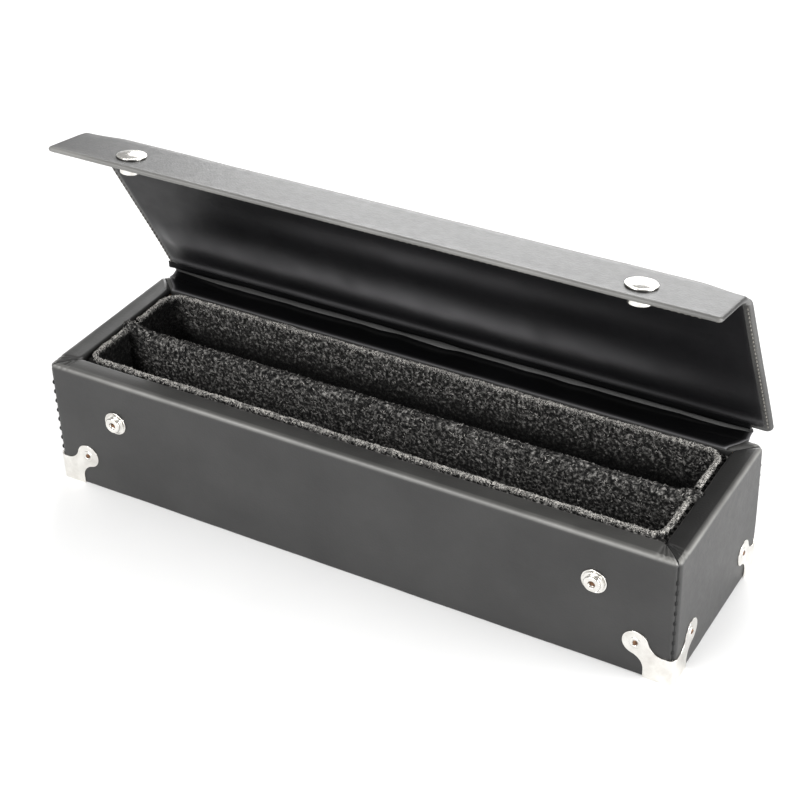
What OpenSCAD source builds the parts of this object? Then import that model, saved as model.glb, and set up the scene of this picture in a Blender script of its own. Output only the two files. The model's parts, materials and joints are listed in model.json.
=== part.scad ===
// Hinged hard case for a piccolo: a leather-covered wooden box with two carpet-lined lanes,
// a stiffened lid on a leather hinge, a folding front flap, two press studs and four corner plates.
// Frame: millimetres, +X along the case, -Y towards the front with the studs, +Z up.
// The origin is the middle of the bottom. The case stands open, as it is drawn.

/* [Box] */
// Outer length of the box
case_l = 350; // [300:1:420]
// Outer depth of the box, front to back
case_d = 102.5; // [90:0.5:130]
// Outer height of the box
case_h = 71; // [64:0.5:90]
// Thickness of the wall boards
board_t = 9.6; // [7:0.2:11]
// Thickness of the bottom board
bottom_t = 6; // [4:0.5:8]
// Thickness of the leather on the outside
cover_t = 1.2; // [0.8:0.1:1.6]
// Depth to which the leather is turned down inside the rim
turn_in = 20; // [12:1:28]
// Radius of the covered vertical corners
corner_r = 3; // [2:0.5:4]

/* [Lining] */
// Thickness of the carpet on walls and floor
liner_t = 3.2; // [2:0.2:4]
// Thickness of the divider's board
divider_t = 4; // [3:0.5:6]
// Thickness of the carpet folded over the divider
divider_felt = 2.4; // [1.6:0.2:3]
// Drop of the divider's top below the rim
divider_drop = 2; // [1:0.5:8]

/* [Lid and flap] */
// Length of the lid and flap
lid_l = 352.5; // [302:0.5:424]
// Thickness of the lid's board
lid_board_t = 1.6; // [1.2:0.2:2.4]
// Thickness of the lid's outer leather
lid_cover_t = 1.0; // [0.8:0.1:1.4]
// Thickness of the lid's lining
lid_lining_t = 0.8; // [0.6:0.1:1.2]
// Gap between the rim and the closed lid
lid_gap = 0.8; // [0.8:0.1:1.4]
// Angle that the lid stands open at
lid_open = 64.5; // [50:0.5:80]
// Outer radius of the leather where the lid folds into the flap
fold_r = 12; // [9:0.5:14]
// Angle between lid and flap as the case stands
flap_rest = 55.5; // [45:0.5:70]
// Straight length of the flap past the fold
flap_l = 30.3; // [28:0.1:34]
// Gap between the closed flap and the front of the box
flap_gap = 5.8; // [4.8:0.1:6]

/* [Hinge] */
// Distance of the hinge line behind the box
hinge_back = 7.1; // [6.5:0.1:9]
// Height of the hinge line above the rim
hinge_up = 5.5; // [4.5:0.25:7]
// Length by which the leather hinge stops short of each end
hinge_inset = 4; // [3:0.5:8]
// Depth to which the hinge strip is glued down the back
hinge_glue = 24; // [16:1:32]

/* [Press studs] */
// Distance of each press stud from the middle
stud_x = 134.6; // [110:0.1:145]
// Height of the studs above the bottom
stud_z = 46.6; // [46:0.1:50]
// Diameter of the stud's washer
washer_d = 12.8; // [11:0.2:14]
// Diameter of the stud's head
head_d = 6.8; // [6:0.1:7.2]
// Height of the stud's head above the leather
head_h = 3; // [2.6:0.1:3.1]
// Diameter of the cap on the flap
cap_d = 15; // [13:0.5:16]
// Opening of the socket inside the flap
socket_bore_d = 9.4; // [9.2:0.1:10]

/* [Corner plates] */
// Thickness of the nickel plate
plate_t = 0.8; // [0.6:0.1:1]
// Length of the plate's foot along each edge
plate_foot = 14.5; // [13:0.5:18]
// Distance of the plate's nail from the two edges of a face
nail_in = 18.8; // [17:0.2:21]
// Radius of the plate's round lobe
lobe_r = 6.6; // [5.5:0.1:7.5]
// Radius of the hollow arcs between foot and lobe
hollow_r = 8; // [6:0.5:10]
// Radius of the nail's head
nail_head_r = 1.3; // [1:0.1:1.6]

/* [Stitches] */
// Distance from stitch to stitch
stitch_pitch = 5.8; // [4:0.1:8]
// Length of one stitch
stitch_len = 3.4; // [2:0.1:4.5]
// Thickness of the thread
thread_d = 0.5; // [0.4:0.05:0.5]

/* [Hidden] */
$fn = 64;

big = 1000;
half_l = case_l / 2;
half_d = case_d / 2;
wall_t = cover_t + board_t + cover_t;      // leather, board, leather turned in
floor_z = cover_t + bottom_t;              // top of the bottom board
carpet_z = floor_z + liner_t;              // top of the carpet floor
room_l = case_l - 2 * wall_t;              // room between the covered walls
room_d = case_d - 2 * wall_t;
lane_l = room_l - 2 * liner_t;             // room between the carpets
lane_d = room_d - 2 * liner_t;
divider_w = divider_t + 2 * divider_felt;

lid_t = lid_board_t + lid_cover_t + lid_lining_t;
lid_in = case_h + lid_gap;                 // closed lid, underside
lid_out = lid_in + lid_t;                  // closed lid, top
flap_in = half_d + flap_gap;               // closed flap, inner face (towards -Y)
flap_out = flap_in + lid_t;
fold_in_r = fold_r - lid_t;
fold_y = -flap_out + fold_r;               // the fold's axis, with the lid closed
fold_z = lid_out - fold_r;
hinge_y = half_d + hinge_back;             // the lid's axis
hinge_z = case_h + hinge_up;
heel_back = 1.5;                           // the lid's back edge stops this far short of its axis
lid_back = hinge_y - heel_back;            // back edge of the lid's panel
panel_l = lid_back - fold_y;               // flat length of the lid, back edge to fold
flap_turn = 90 - flap_rest;                // flap's turn from closed to the drawn angle
edge_in = 1.6;                             // the boards stop this far inside the leather's edge
skin = 0.01;

leather = "#2b2b2c";
lining = "#1c1c1e";
carpet = "#4a4a4a";
nickel = "#d9d6ce";
wood = "#c9a46e";
card = "#8a7a62";
thread = "#111111";
bronze = "#7a5534";

// ---------- helpers ----------

// Box given by its two opposite corners
module span(a, b) {
    translate(a) cube(b - a);
}

// Rectangle of length l and depth d about the origin, with round corners of radius r
module round_rect(l, d, r) {
    square([l, d - 2 * r], center = true);
    square([l - 2 * r, d], center = true);
    for (x = [-1, 1], y = [-1, 1])
        translate([x * (l / 2 - r), y * (d / 2 - r)]) circle(r);
}

// Wedge of the plan between two mitre lines, from the middle out to one side:
// side 0 is the front, 1 the right end, 2 the back, 3 the left end
module mitre(side) {
    m = (case_l - case_d) / 2;             // half of the ridge line, as on a hipped roof
    fan = [[-m, 0], [m, 0], [m + big, -big], [-m - big, -big]];
    tip = [[m, 0], [m + big, -big], [m + big, big]];
    translate([0, 0, -big / 2]) linear_extrude(big) {
        if (side == 0) polygon(fan);
        if (side == 2) mirror([0, 1]) polygon(fan);
        if (side == 1) polygon(tip);
        if (side == 3) mirror([1, 0]) polygon(tip);
    }
}

// Turns what is drawn on the closed lid up to where the lid stands
module on_lid() {
    translate([0, hinge_y, hinge_z]) rotate([-lid_open, 0, 0]) translate([0, -hinge_y, -hinge_z])
        children();
}

// Turns what is drawn on the closed flap to where the flap stands on the open lid
module on_flap() {
    on_lid() translate([0, fold_y, fold_z]) rotate([-flap_turn, 0, 0]) translate([0, -fold_y, -fold_z])
        children();
}

// A solid of revolution about a stud's axis; the profile is [radius, distance out of the front]
module turned_out(x, y0, profile) {
    translate([x, -y0, stud_z]) rotate([90, 0, 0]) rotate_extrude() polygon(profile);
}

// ---------- wooden box ----------

board_top = case_h - cover_t;

module wall_boards(side) {
    l = case_l - 2 * cover_t;
    d = case_d - 2 * cover_t;
    y0 = d / 2 - board_t;
    if (side == "front") span([-l / 2, -d / 2, floor_z], [l / 2, -y0, board_top]);
    if (side == "back") span([-l / 2, y0, floor_z], [l / 2, d / 2, board_top]);
    if (side == "left") span([-l / 2, -y0, floor_z], [-l / 2 + board_t, y0, board_top]);
    if (side == "right") span([l / 2 - board_t, -y0, floor_z], [l / 2, y0, board_top]);
}

// Holes for the stud rivets through the front wall, with a seat for each rivet's inner flange
module rivet_holes() {
    for (x = [-stud_x, stud_x]) turned_out(x, 0, rivet_profile(half_d + 5));
}

// The wooden pieces keep inside the leather's rounded corners
module inside_corners() {
    intersection() {
        children();
        translate([0, 0, -1]) linear_extrude(case_h + 2)
            round_rect(case_l - 2 * cover_t, case_d - 2 * cover_t, corner_r - cover_t);
    }
}

module front_board() {
    color(wood) difference() {
        inside_corners() wall_boards("front");
        rivet_holes();
        all_nails();
    }
}

module back_board() {
    color(wood) difference() {
        inside_corners() wall_boards("back");
        all_nails();
    }
}

module left_end_board() {
    color(wood) difference() {
        wall_boards("left");
        all_nails();
    }
}

module right_end_board() {
    color(wood) difference() {
        wall_boards("right");
        all_nails();
    }
}

module bottom_board() {
    color(wood) difference() {
        inside_corners() span([-half_l, -half_d, cover_t], [half_l, half_d, floor_z]);
        all_nails();
    }
}

// ---------- leather on the box ----------

// The whole skin: outside, over the rim and down inside it
module cover_ring() {
    difference() {
        linear_extrude(case_h) round_rect(case_l, case_d, corner_r);
        translate([0, 0, -1]) linear_extrude(case_h - cover_t + 1)
            round_rect(case_l - 2 * cover_t, case_d - 2 * cover_t, corner_r - cover_t);
        translate([0, 0, case_h / 2]) cube([room_l, room_d, 2 * case_h], center = true);
    }
    difference() {
        span([-room_l / 2 - cover_t, -room_d / 2 - cover_t, case_h - turn_in],
             [room_l / 2 + cover_t, room_d / 2 + cover_t, case_h - cover_t]);
        translate([0, 0, case_h / 2]) cube([room_l, room_d, 2 * case_h], center = true);
    }
}

module wall_cover(side) {
    difference() {
        intersection() {
            cover_ring();
            mitre(side);
        }
        corner_plate_pockets();
        all_nails();
    }
}

module front_cover() {
    color(leather) difference() {
        wall_cover(0);
        rivet_holes();
    }
}

module back_cover() { color(leather) wall_cover(2); }
module left_end_cover() { color(leather) wall_cover(3); }
module right_end_cover() { color(leather) wall_cover(1); }

module bottom_cover() {
    color(leather) difference() {
        linear_extrude(cover_t)
            round_rect(case_l - 2 * cover_t, case_d - 2 * cover_t, corner_r - cover_t);
        corner_plate_pockets();
        all_nails();
    }
}

// ---------- carpet ----------

// The turned-in leather is let into the carpet's back, so a liner is thicker below it
module wall_liner(side) {
    x0 = room_l / 2;
    y0 = room_d / 2;
    x1 = x0 - liner_t;
    y1 = y0 - liner_t;
    low = case_h - turn_in;                // below this the carpet lies on the wood
    module slab(grow, z0, z1) {
        if (side == "front") span([-x0 - grow, -y0 - grow, z0], [x0 + grow, -y1, z1]);
        if (side == "back") span([-x0 - grow, y1, z0], [x0 + grow, y0 + grow, z1]);
        if (side == "left") span([-x0 - grow, -y1, z0], [-x1, y1, z1]);
        if (side == "right") span([x1, -y1, z0], [x0 + grow, y1, z1]);
    }
    slab(0, low, case_h);
    slab(cover_t, floor_z, low);
}

module front_liner() { color(carpet) wall_liner("front"); }
module back_liner() { color(carpet) wall_liner("back"); }
module left_end_liner() { color(carpet) split_by_divider() wall_liner("left"); }
module right_end_liner() { color(carpet) split_by_divider() wall_liner("right"); }

// The divider runs through the end liners, so each is a piece in front of it and one behind
module split_by_divider() {
    difference() {
        children();
        cube([big, divider_w, big], center = true);
    }
}

// The carpet floor of one lane: sign -1 in front of the divider, 1 behind it
module lane_floor(sign) {
    y_in = sign * divider_w / 2;
    y_out = sign * lane_d / 2;
    span([-lane_l / 2, min(y_in, y_out), floor_z], [lane_l / 2, max(y_in, y_out), carpet_z]);
}

module front_floor_liner() { color(carpet) lane_floor(-1); }
module back_floor_liner() { color(carpet) lane_floor(1); }

divider_top = case_h - divider_drop;

module divider_board() {
    color(wood)
        span([-room_l / 2, -divider_t / 2, floor_z], [room_l / 2, divider_t / 2, divider_top - divider_felt]);
}

module divider_liner() {
    r = divider_w / 2;
    color(carpet) difference() {
        union() {
            span([-room_l / 2, -r, floor_z], [room_l / 2, r, divider_top - r]);
            translate([-room_l / 2, 0, divider_top - r]) rotate([0, 90, 0]) cylinder(h = room_l, r = r);
        }
        span([-room_l / 2 - 1, -divider_t / 2, 0], [room_l / 2 + 1, divider_t / 2, divider_top - divider_felt]);
    }
}

// ---------- press studs on the box ----------

rivet_r = 1.7;
rivet_flange_r = 4;
rivet_flange_t = 0.8;
head_hole_r = 0.9;
rivet_end = 1.8;                           // the rivet ends this far out of the leather
inner_face = half_d - cover_t - board_t;   // wood's inner face, behind the front

// Profile of the rivet measured from y = 0 towards the front
function rivet_profile(end) = [
    [0, inner_face], [rivet_flange_r, inner_face], [rivet_flange_r, inner_face + rivet_flange_t],
    [rivet_r, inner_face + rivet_flange_t], [rivet_r, end], [0, end]
];

module stud_rivet(x) {
    color(bronze) turned_out(x, 0, rivet_profile(half_d + rivet_end));
}

// Washer with a raised rim, a neck, and a rounded head with a small open end
module stud(x) {
    r = washer_d / 2;
    h = head_d / 2;
    t = 0.7;
    round_r = 1.0;
    arc = [for (a = [0 : 15 : 90]) [h - round_r + round_r * cos(a), head_h - round_r + round_r * sin(a)]];
    color(nickel) turned_out(x, half_d, concat(
        [[rivet_r, 0], [r, 0], [r, 0.35], [r - 0.5, t], [h + 0.9, t], [h - 0.8, t + 0.15], [h - 0.8, 1.5], [h, 1.8]],
        arc,
        [[head_hole_r, head_h], [head_hole_r, rivet_end], [rivet_r, rivet_end]]
    ));
}

module stud_left() { stud(-stud_x); }
module stud_right() { stud(stud_x); }
module stud_rivet_left() { stud_rivet(-stud_x); }
module stud_rivet_right() { stud_rivet(stud_x); }

// ---------- corner plates ----------

// One face's outline, with the case's corner at the origin and the edges along the axes:
// a square foot and a lobe for the nail, joined by hollow arcs that touch both
module plate_outline() {
    n = nail_in;
    f = plate_foot;
    w = lobe_r;
    r = hollow_r;
    c = n - sqrt(pow(r + w, 2) - pow(n - f - r, 2));   // centre of a hollow arc, along the foot's edge
    tx = c + (n - c) * r / (r + w);                    // where the arc touches the lobe
    ty = f + r + (n - f - r) * r / (r + w);
    difference() {
        union() {
            square([f, f]);
            translate([n, n]) circle(w);
            polygon([[c, f], [tx, ty], [ty, tx], [f, c]]);
        }
        translate([c, f + r]) circle(r);
        translate([f + r, c]) circle(r);
    }
}

// Shell of the plate's thickness round the case's front left bottom corner;
// the bottom leg is let into the leather, so it is flush with the bottom
module corner_shell(t) {
    difference() {
        linear_extrude(case_h / 2) round_rect(case_l + 2 * t, case_d + 2 * t, corner_r + t);
        translate([0, 0, t]) linear_extrude(case_h) round_rect(case_l, case_d, corner_r);
    }
}

// Plates are drawn at the front left corner and mirrored to the others
module at_corner(sx, sy) {
    mirror([sx > 0 ? 1 : 0, 0, 0]) mirror([0, sy > 0 ? 1 : 0, 0]) children();
}

module plate_blank(t) {
    corner = [-half_l, -half_d, 0];
    intersection() {
        corner_shell(t);
        union() {
            translate(corner + [0, 3, 0]) rotate([90, 0, 0]) linear_extrude(3 + 2 * t) square_leg(t);
            translate(corner + [3, 0, 0]) rotate([0, -90, 0]) linear_extrude(3 + 2 * t)
                rotate(90) mirror([0, 1]) square_leg(t);
            translate(corner) linear_extrude(t) plate_outline();
            translate(corner - [t, t, 0]) cube([3 + t, 3 + t, plate_foot]);
        }
    }
}

// The outline carried a plate's thickness past the vertical edge, so that the legs meet round it
module square_leg(t) {
    plate_outline();
    translate([-t - 1, 0]) square([t + 1 + skin, plate_foot]);
}

module corner_plate(sx, sy) {
    color(nickel) at_corner(sx, sy) difference() {
        plate_blank(plate_t);
        nails_at_corner();
    }
}

module corner_plate_front_left() { corner_plate(-1, -1); }
module corner_plate_front_right() { corner_plate(1, -1); }
module corner_plate_back_left() { corner_plate(-1, 1); }
module corner_plate_back_right() { corner_plate(1, 1); }

// Seats in the bottom leather for the plates' bottom legs
module corner_plate_pockets() {
    for (sx = [-1, 1], sy = [-1, 1]) at_corner(sx, sy)
        intersection() {
            translate([-half_l, -half_d, -1]) linear_extrude(plate_t + 1) plate_outline();
            translate([-half_l - 1, -half_d - 1, -1]) cube([60, 60, plate_t + 1]);
        }
}

shank_r = 0.7;
shank_l = 6.4;
nail_head_t = 0.5;

// Nail along -Z into the wood, with its head on the plate
module nail() {
    translate([0, 0, -shank_l]) cylinder(h = shank_l, r = shank_r);
    cylinder(h = nail_head_t, r1 = nail_head_r, r2 = nail_head_r * 0.7);
}

// One nail in each of the plate's three legs; the bottom one is sunk flush
module nails_at_corner() {
    n = nail_in;
    translate([-half_l + n, -half_d - plate_t, n]) rotate([90, 0, 0]) nail();
    translate([-half_l - plate_t, -half_d + n, n]) rotate([0, -90, 0]) nail();
    translate([-half_l + n, -half_d + n, nail_head_t]) rotate([180, 0, 0]) nail();
}

module all_nails() {
    for (sx = [-1, 1], sy = [-1, 1]) at_corner(sx, sy) nails_at_corner();
}

module corner_nails() { color(bronze) all_nails(); }

// ---------- thread ----------

// A stitch of length l along Z
module stitch(l) {
    translate([-thread_d / 2, -thread_d / 2, -l / 2]) cube([thread_d, thread_d, l]);
}

module corner_seam_thread() {
    low = 18;
    high = case_h - 6;
    count = floor((high - low) / stitch_pitch);
    edge = corner_r * (1 - cos(45));       // from the sharp corner in to the round one
    color(thread) for (sx = [-1, 1], sy = [-1, 1], i = [0 : count])
        translate([sx * (half_l - edge), sy * (half_d - edge), low + i * stitch_pitch])
            rotate([0, 0, 45]) translate([sx * sy > 0 ? sx * thread_d / 2 : 0, sx * sy > 0 ? 0 : sy * thread_d / 2, 0])
                stitch(stitch_len);
}

// ---------- leather hinge ----------

// The hinge's two leathers, drawn as one outline in the YZ plane and carried along X
module hinge_profile(points) {
    l = case_l - 2 * hinge_inset;
    translate([-l / 2, 0, 0]) rotate([90, 0, 90]) linear_extrude(l) polygon(points);
}

// Place on the open lid of a point given on the closed lid, as [y, z]
function opened(p) = [
    hinge_y + (p[0] - hinge_y) * cos(lid_open) + (p[1] - hinge_z) * sin(lid_open),
    hinge_z - (p[0] - hinge_y) * sin(lid_open) + (p[1] - hinge_z) * cos(lid_open)
];

lid_heel_out = opened([lid_back, lid_out]);
lid_heel_mid = opened([lid_back, lid_out - lid_cover_t]);
lid_heel_in = opened([lid_back, lid_in]);
lid_heel_lining = opened([lid_back, lid_in + lid_lining_t]);

module hinge_strip() {
    t = lid_cover_t;
    color(leather) hinge_profile([
        [half_d, case_h - hinge_glue], [half_d + t, case_h - hinge_glue], [half_d + t, case_h - 6],
        lid_heel_out, lid_heel_mid, [half_d + 0.2, case_h - 4], [half_d, case_h - 5]
    ]);
}

module hinge_gusset() {
    t = lid_lining_t * 0.6;
    y0 = room_d / 2;
    color(lining) hinge_profile([
        [y0, case_h], [half_d - 0.6, case_h], lid_heel_lining, lid_heel_in,
        [half_d - 1, case_h + t], [y0, case_h + t]
    ]);
}

// ---------- lid ----------

// A flat layer of the closed lid, from z0 to z1, with its edge drawn in by e
module lid_layer(z0, z1, e) {
    span([-lid_l / 2 + e, fold_y, z0], [lid_l / 2 - e, lid_back - e, z1]);
}

module lid_board() {
    color(card) on_lid() lid_layer(lid_in + lid_lining_t, lid_out - lid_cover_t, edge_in);
}

// The cover wraps the lid's edge, so that the board and lining sit inside its rim
module lid_cover() {
    color(leather) on_lid() difference() {
        lid_layer(lid_in + lid_lining_t, lid_out, 0);
        span([-lid_l / 2 + edge_in, fold_y - 1, lid_in], [lid_l / 2 - edge_in, lid_back - edge_in, lid_out - lid_cover_t]);
    }
}

module lid_lining() {
    color(lining) on_lid() lid_layer(lid_in, lid_in + lid_lining_t, 0);
}

// Stitches down both ends of the lid, just inside its edge
module lid_thread() {
    count = floor((panel_l - 8) / stitch_pitch);
    inset = 1.6;
    color(thread) on_lid() for (sx = [-1, 1], i = [0 : count])
        translate([sx * (lid_l / 2 - inset), lid_back - 6 - i * stitch_pitch, lid_in - thread_d / 2])
            rotate([90, 0, 0]) stitch(stitch_len);
}

// ---------- fold between lid and flap ----------

// A layer of the fold: the ring between two radii, over the angle that the leather bends through
module fold_layer(r0, r1) {
    on_lid() translate([-lid_l / 2, fold_y, fold_z]) rotate([90, 0, 90]) linear_extrude(lid_l)
        intersection() {
            difference() {
                circle(r1);
                circle(r0);
            }
            polygon([[0, 0], [0, big], [-big * tan(flap_rest), big]]);
        }
}

module fold_cover() { color(leather) fold_layer(fold_in_r + lid_lining_t, fold_r); }
module fold_lining() { color(lining) fold_layer(fold_in_r, fold_in_r + lid_lining_t); }

// ---------- flap, drawn closed against the front ----------

flap_low = fold_z - flap_l;

// A layer of the flap between two distances out from the middle, drawn in by e
module flap_layer(y0, y1, e) {
    span([-lid_l / 2 + e, -y1, flap_low + e], [lid_l / 2 - e, -y0, fold_z]);
}

socket_outer_r = socket_bore_d / 2 + 0.6;
post_r = 2;                                // the cap's post

// Room in the flap for the sockets' barrels and the caps' posts
module socket_holes() {
    for (x = [-stud_x, stud_x]) {
        turned_out(x, 0, [[0, flap_in - 1], [socket_outer_r, flap_in - 1],
                          [socket_outer_r, flap_out - lid_cover_t], [0, flap_out - lid_cover_t]]);
        turned_out(x, 0, [[0, flap_in], [post_r, flap_in], [post_r, flap_out + 1], [0, flap_out + 1]]);
    }
}

module flap_board() {
    color(card) on_flap() difference() {
        flap_layer(flap_in + lid_lining_t, flap_out - lid_cover_t, edge_in);
        socket_holes();
    }
}

module flap_cover() {
    color(leather) on_flap() difference() {
        flap_layer(flap_in + lid_lining_t, flap_out, 0);
        span([-lid_l / 2 + edge_in, -flap_out + lid_cover_t, flap_low + edge_in],
             [lid_l / 2 - edge_in, -flap_in, fold_z + 1]);
        socket_holes();
    }
}

module flap_lining() {
    color(lining) on_flap() difference() {
        flap_layer(flap_in, flap_in + lid_lining_t, 0);
        socket_holes();
    }
}

module flap_thread() {
    inset = 1.6;
    y = -flap_in + thread_d / 2;
    along = floor((lid_l - 12) / stitch_pitch / 2);
    down = floor((flap_l - 8) / stitch_pitch);
    color(thread) on_flap() {
        for (i = [-along : along])
            translate([i * stitch_pitch, y, flap_low + inset]) rotate([0, 90, 0]) stitch(stitch_len);
        for (sx = [-1, 1], i = [0 : down])
            translate([sx * (lid_l / 2 - inset), y, fold_z - 4 - i * stitch_pitch]) stitch(stitch_len);
    }
}

// ---------- snap fasteners on the flap ----------

cap_h = 2.2;
socket_proud = 4.7;
socket_floor_t = 0.4;
socket_depth = lid_t - lid_cover_t - 0.4;  // from the flap's inner face out to the socket's floor

// Low domed cap with a rolled edge, and a post through the leather into the socket
module cap(x) {
    r = cap_d / 2;
    y0 = flap_out;
    dome = [for (a = [0 : 15 : 90]) [r * cos(a), y0 + 0.5 + (cap_h - 0.5) * sin(a)]];
    post_in = flap_in + socket_depth;
    color(nickel) on_flap() turned_out(x, 0, concat(
        [[0, post_in - 0.3], [post_r + 1, post_in - 0.3], [post_r + 1, post_in], [post_r, post_in], [post_r, y0], [r, y0]],
        dome
    ));
}

// Socket: a flange on the lining and a barrel into the flap, open towards the stud
module socket(x) {
    b = socket_bore_d / 2;
    f = washer_d / 2;
    y0 = flap_in - socket_proud;
    y1 = flap_in + socket_depth;
    color(nickel) on_flap() turned_out(x, 0, [
        [b, y0], [b + 0.7, y0], [f - 0.6, y0 + 0.6], [f - 0.6, flap_in - 0.8], [f, flap_in - 0.5], [f, flap_in],
        [socket_outer_r, flap_in],
        [socket_outer_r, y1 + socket_floor_t], [post_r, y1 + socket_floor_t], [post_r, y1], [b, y1]
    ]);
}

module cap_left() { cap(-stud_x); }
module cap_right() { cap(stud_x); }
module socket_left() { socket(-stud_x); }
module socket_right() { socket(stud_x); }

front_board();
back_board();
left_end_board();
right_end_board();
bottom_board();
front_cover();
back_cover();
left_end_cover();
right_end_cover();
bottom_cover();
front_liner();
back_liner();
left_end_liner();
right_end_liner();
front_floor_liner();
back_floor_liner();
divider_board();
divider_liner();
stud_left();
stud_right();
stud_rivet_left();
stud_rivet_right();
corner_plate_front_left();
corner_plate_front_right();
corner_plate_back_left();
corner_plate_back_right();
corner_nails();
corner_seam_thread();
hinge_strip();
hinge_gusset();
lid_board();
lid_cover();
lid_lining();
lid_thread();
fold_cover();
fold_lining();
flap_board();
flap_cover();
flap_lining();
flap_thread();
cap_left();
cap_right();
socket_left();
socket_right();
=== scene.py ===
import json
import math
import bmesh
import bpy
import numpy as np
from mathutils import Matrix, Vector


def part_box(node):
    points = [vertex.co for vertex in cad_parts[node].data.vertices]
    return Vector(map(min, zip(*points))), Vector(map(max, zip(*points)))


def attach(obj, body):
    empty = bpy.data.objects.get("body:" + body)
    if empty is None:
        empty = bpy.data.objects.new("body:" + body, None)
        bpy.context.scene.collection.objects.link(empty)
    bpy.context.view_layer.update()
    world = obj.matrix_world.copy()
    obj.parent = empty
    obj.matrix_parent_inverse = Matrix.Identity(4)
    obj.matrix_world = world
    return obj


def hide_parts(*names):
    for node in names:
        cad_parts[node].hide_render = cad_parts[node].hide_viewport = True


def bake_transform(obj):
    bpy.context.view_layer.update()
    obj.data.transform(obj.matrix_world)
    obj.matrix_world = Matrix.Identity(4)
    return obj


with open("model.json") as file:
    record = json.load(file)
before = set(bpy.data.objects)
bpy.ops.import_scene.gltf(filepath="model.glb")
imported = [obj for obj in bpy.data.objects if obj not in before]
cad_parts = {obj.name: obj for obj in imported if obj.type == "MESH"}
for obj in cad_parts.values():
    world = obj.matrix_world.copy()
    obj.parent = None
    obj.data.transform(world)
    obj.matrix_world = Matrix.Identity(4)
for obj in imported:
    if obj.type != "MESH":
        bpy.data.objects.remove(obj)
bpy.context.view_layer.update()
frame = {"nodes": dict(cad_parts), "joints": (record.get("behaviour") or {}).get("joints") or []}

mm = 0.001               # shapes are worked out in millimetres and stored in metres


def nodeBox(name):
    # lowest and highest corner of a CAD node, in millimetres
    low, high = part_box(name)
    return np.array(low) / mm, np.array(high) / mm


def nodePoints(name):
    # every vertex of a CAD node, in millimetres
    mesh = frame["nodes"][name].data
    points = np.empty(len(mesh.vertices) * 3)
    mesh.vertices.foreach_get("co", points)
    return points.reshape(-1, 3) / mm


joints = {joint["name"]: joint for joint in frame["joints"]}
case = {
    "halfLength": nodeBox("right_end_cover")[1][0],
    "halfDepth": nodeBox("back_cover")[1][1],
    "height": nodeBox("front_cover")[1][2],
    "wall": nodeBox("front_cover")[1][1] - nodeBox("front_cover")[0][1],
    "carpet": nodeBox("right_end_liner")[1][0] - nodeBox("right_end_liner")[0][0],
    "laneFloor": nodeBox("front_floor_liner")[1][2],
}
case["roomX"] = case["halfLength"] - case["wall"]      # inside of the leather, along and across
case["roomY"] = case["halfDepth"] - case["wall"]

lid = {
    "openAngle": -math.radians(joints["lid_hinge"]["range_deg"][0]),
    "foldAngle": math.radians(90 + joints["flap_fold"]["range_deg"][0]),
    "hinge": np.array(joints["lid_hinge"]["pos_m"][1:]) / mm,
    "fold": np.array(joints["flap_fold"]["pos_m"][1:]) / mm,
    "halfLength": nodeBox("lid_cover")[1][0],
}


def turned(vector, angle):
    # a vector in the YZ plane turned from +Y towards +Z
    y, z = vector
    return np.stack([y * np.cos(angle) - z * np.sin(angle), y * np.sin(angle) + z * np.cos(angle)], axis=-1)


lid["up"] = np.array([-math.cos(lid["openAngle"]), math.sin(lid["openAngle"])])       # hinge to fold
lid["out"] = np.array([math.sin(lid["openAngle"]), math.cos(lid["openAngle"])])       # out of the lid's back
lid["flapOut"] = turned(lid["out"], lid["foldAngle"])
lid["flapUp"] = turned(lid["flapOut"], math.pi / 2)
lidSide = nodePoints("lid_cover")[:, 1:] - lid["fold"]
flapSide = nodePoints("flap_cover")[:, 1:] - lid["fold"]
lid["radius"] = float((lidSide @ lid["out"]).max())
lid["thick"] = lid["radius"] - float(((nodePoints("lid_lining")[:, 1:] - lid["fold"]) @ lid["out"]).min())
lid["heel"] = float((lidSide @ lid["up"]).min())         # negative: below the fold
lid["arc"] = lid["radius"] * lid["foldAngle"]
lid["tip"] = lid["arc"] + float((flapSide @ lid["flapUp"]).max())
print("frame read: case", {k: round(float(v), 1) for k, v in case.items()})
print("lid", {k: np.round(v, 2).tolist() for k, v in lid.items()})


def makeMesh(name, points, faces, material, smooth=True):
    # points is (n, 3) in millimetres; faces is (m, 4) or a list of index lists
    mesh = bpy.data.meshes.new(name)
    if isinstance(faces, np.ndarray):
        mesh.vertices.add(len(points))
        mesh.vertices.foreach_set("co", (np.asarray(points, float) * mm).ravel())
        mesh.loops.add(faces.size)
        mesh.loops.foreach_set("vertex_index", faces.astype(np.int32).ravel())
        mesh.polygons.add(len(faces))
        mesh.polygons.foreach_set("loop_start", np.arange(0, faces.size, faces.shape[1], dtype=np.int32))
    else:
        mesh.from_pydata((np.asarray(points, float) * mm).tolist(), [], faces)
    mesh.update(calc_edges=True)
    mesh.validate()
    mesh.polygons.foreach_set("use_smooth", np.full(len(mesh.polygons), smooth))
    mesh.materials.append(material)
    piece = bpy.data.objects.new(name, mesh)
    bpy.context.scene.collection.objects.link(piece)
    return piece


def gridFaces(rows, cols, wrapRows=False, wrapCols=False):
    # four-sided faces between neighbours of a rows by cols grid of points
    r = np.arange(rows if wrapRows else rows - 1)[:, None]
    c = np.arange(cols if wrapCols else cols - 1)[None, :]
    r2, c2 = (r + 1) % rows, (c + 1) % cols
    return np.stack([r * cols + c, r * cols + c2, r2 * cols + c2, r2 * cols + c], axis=-1).reshape(-1, 4)


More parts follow.
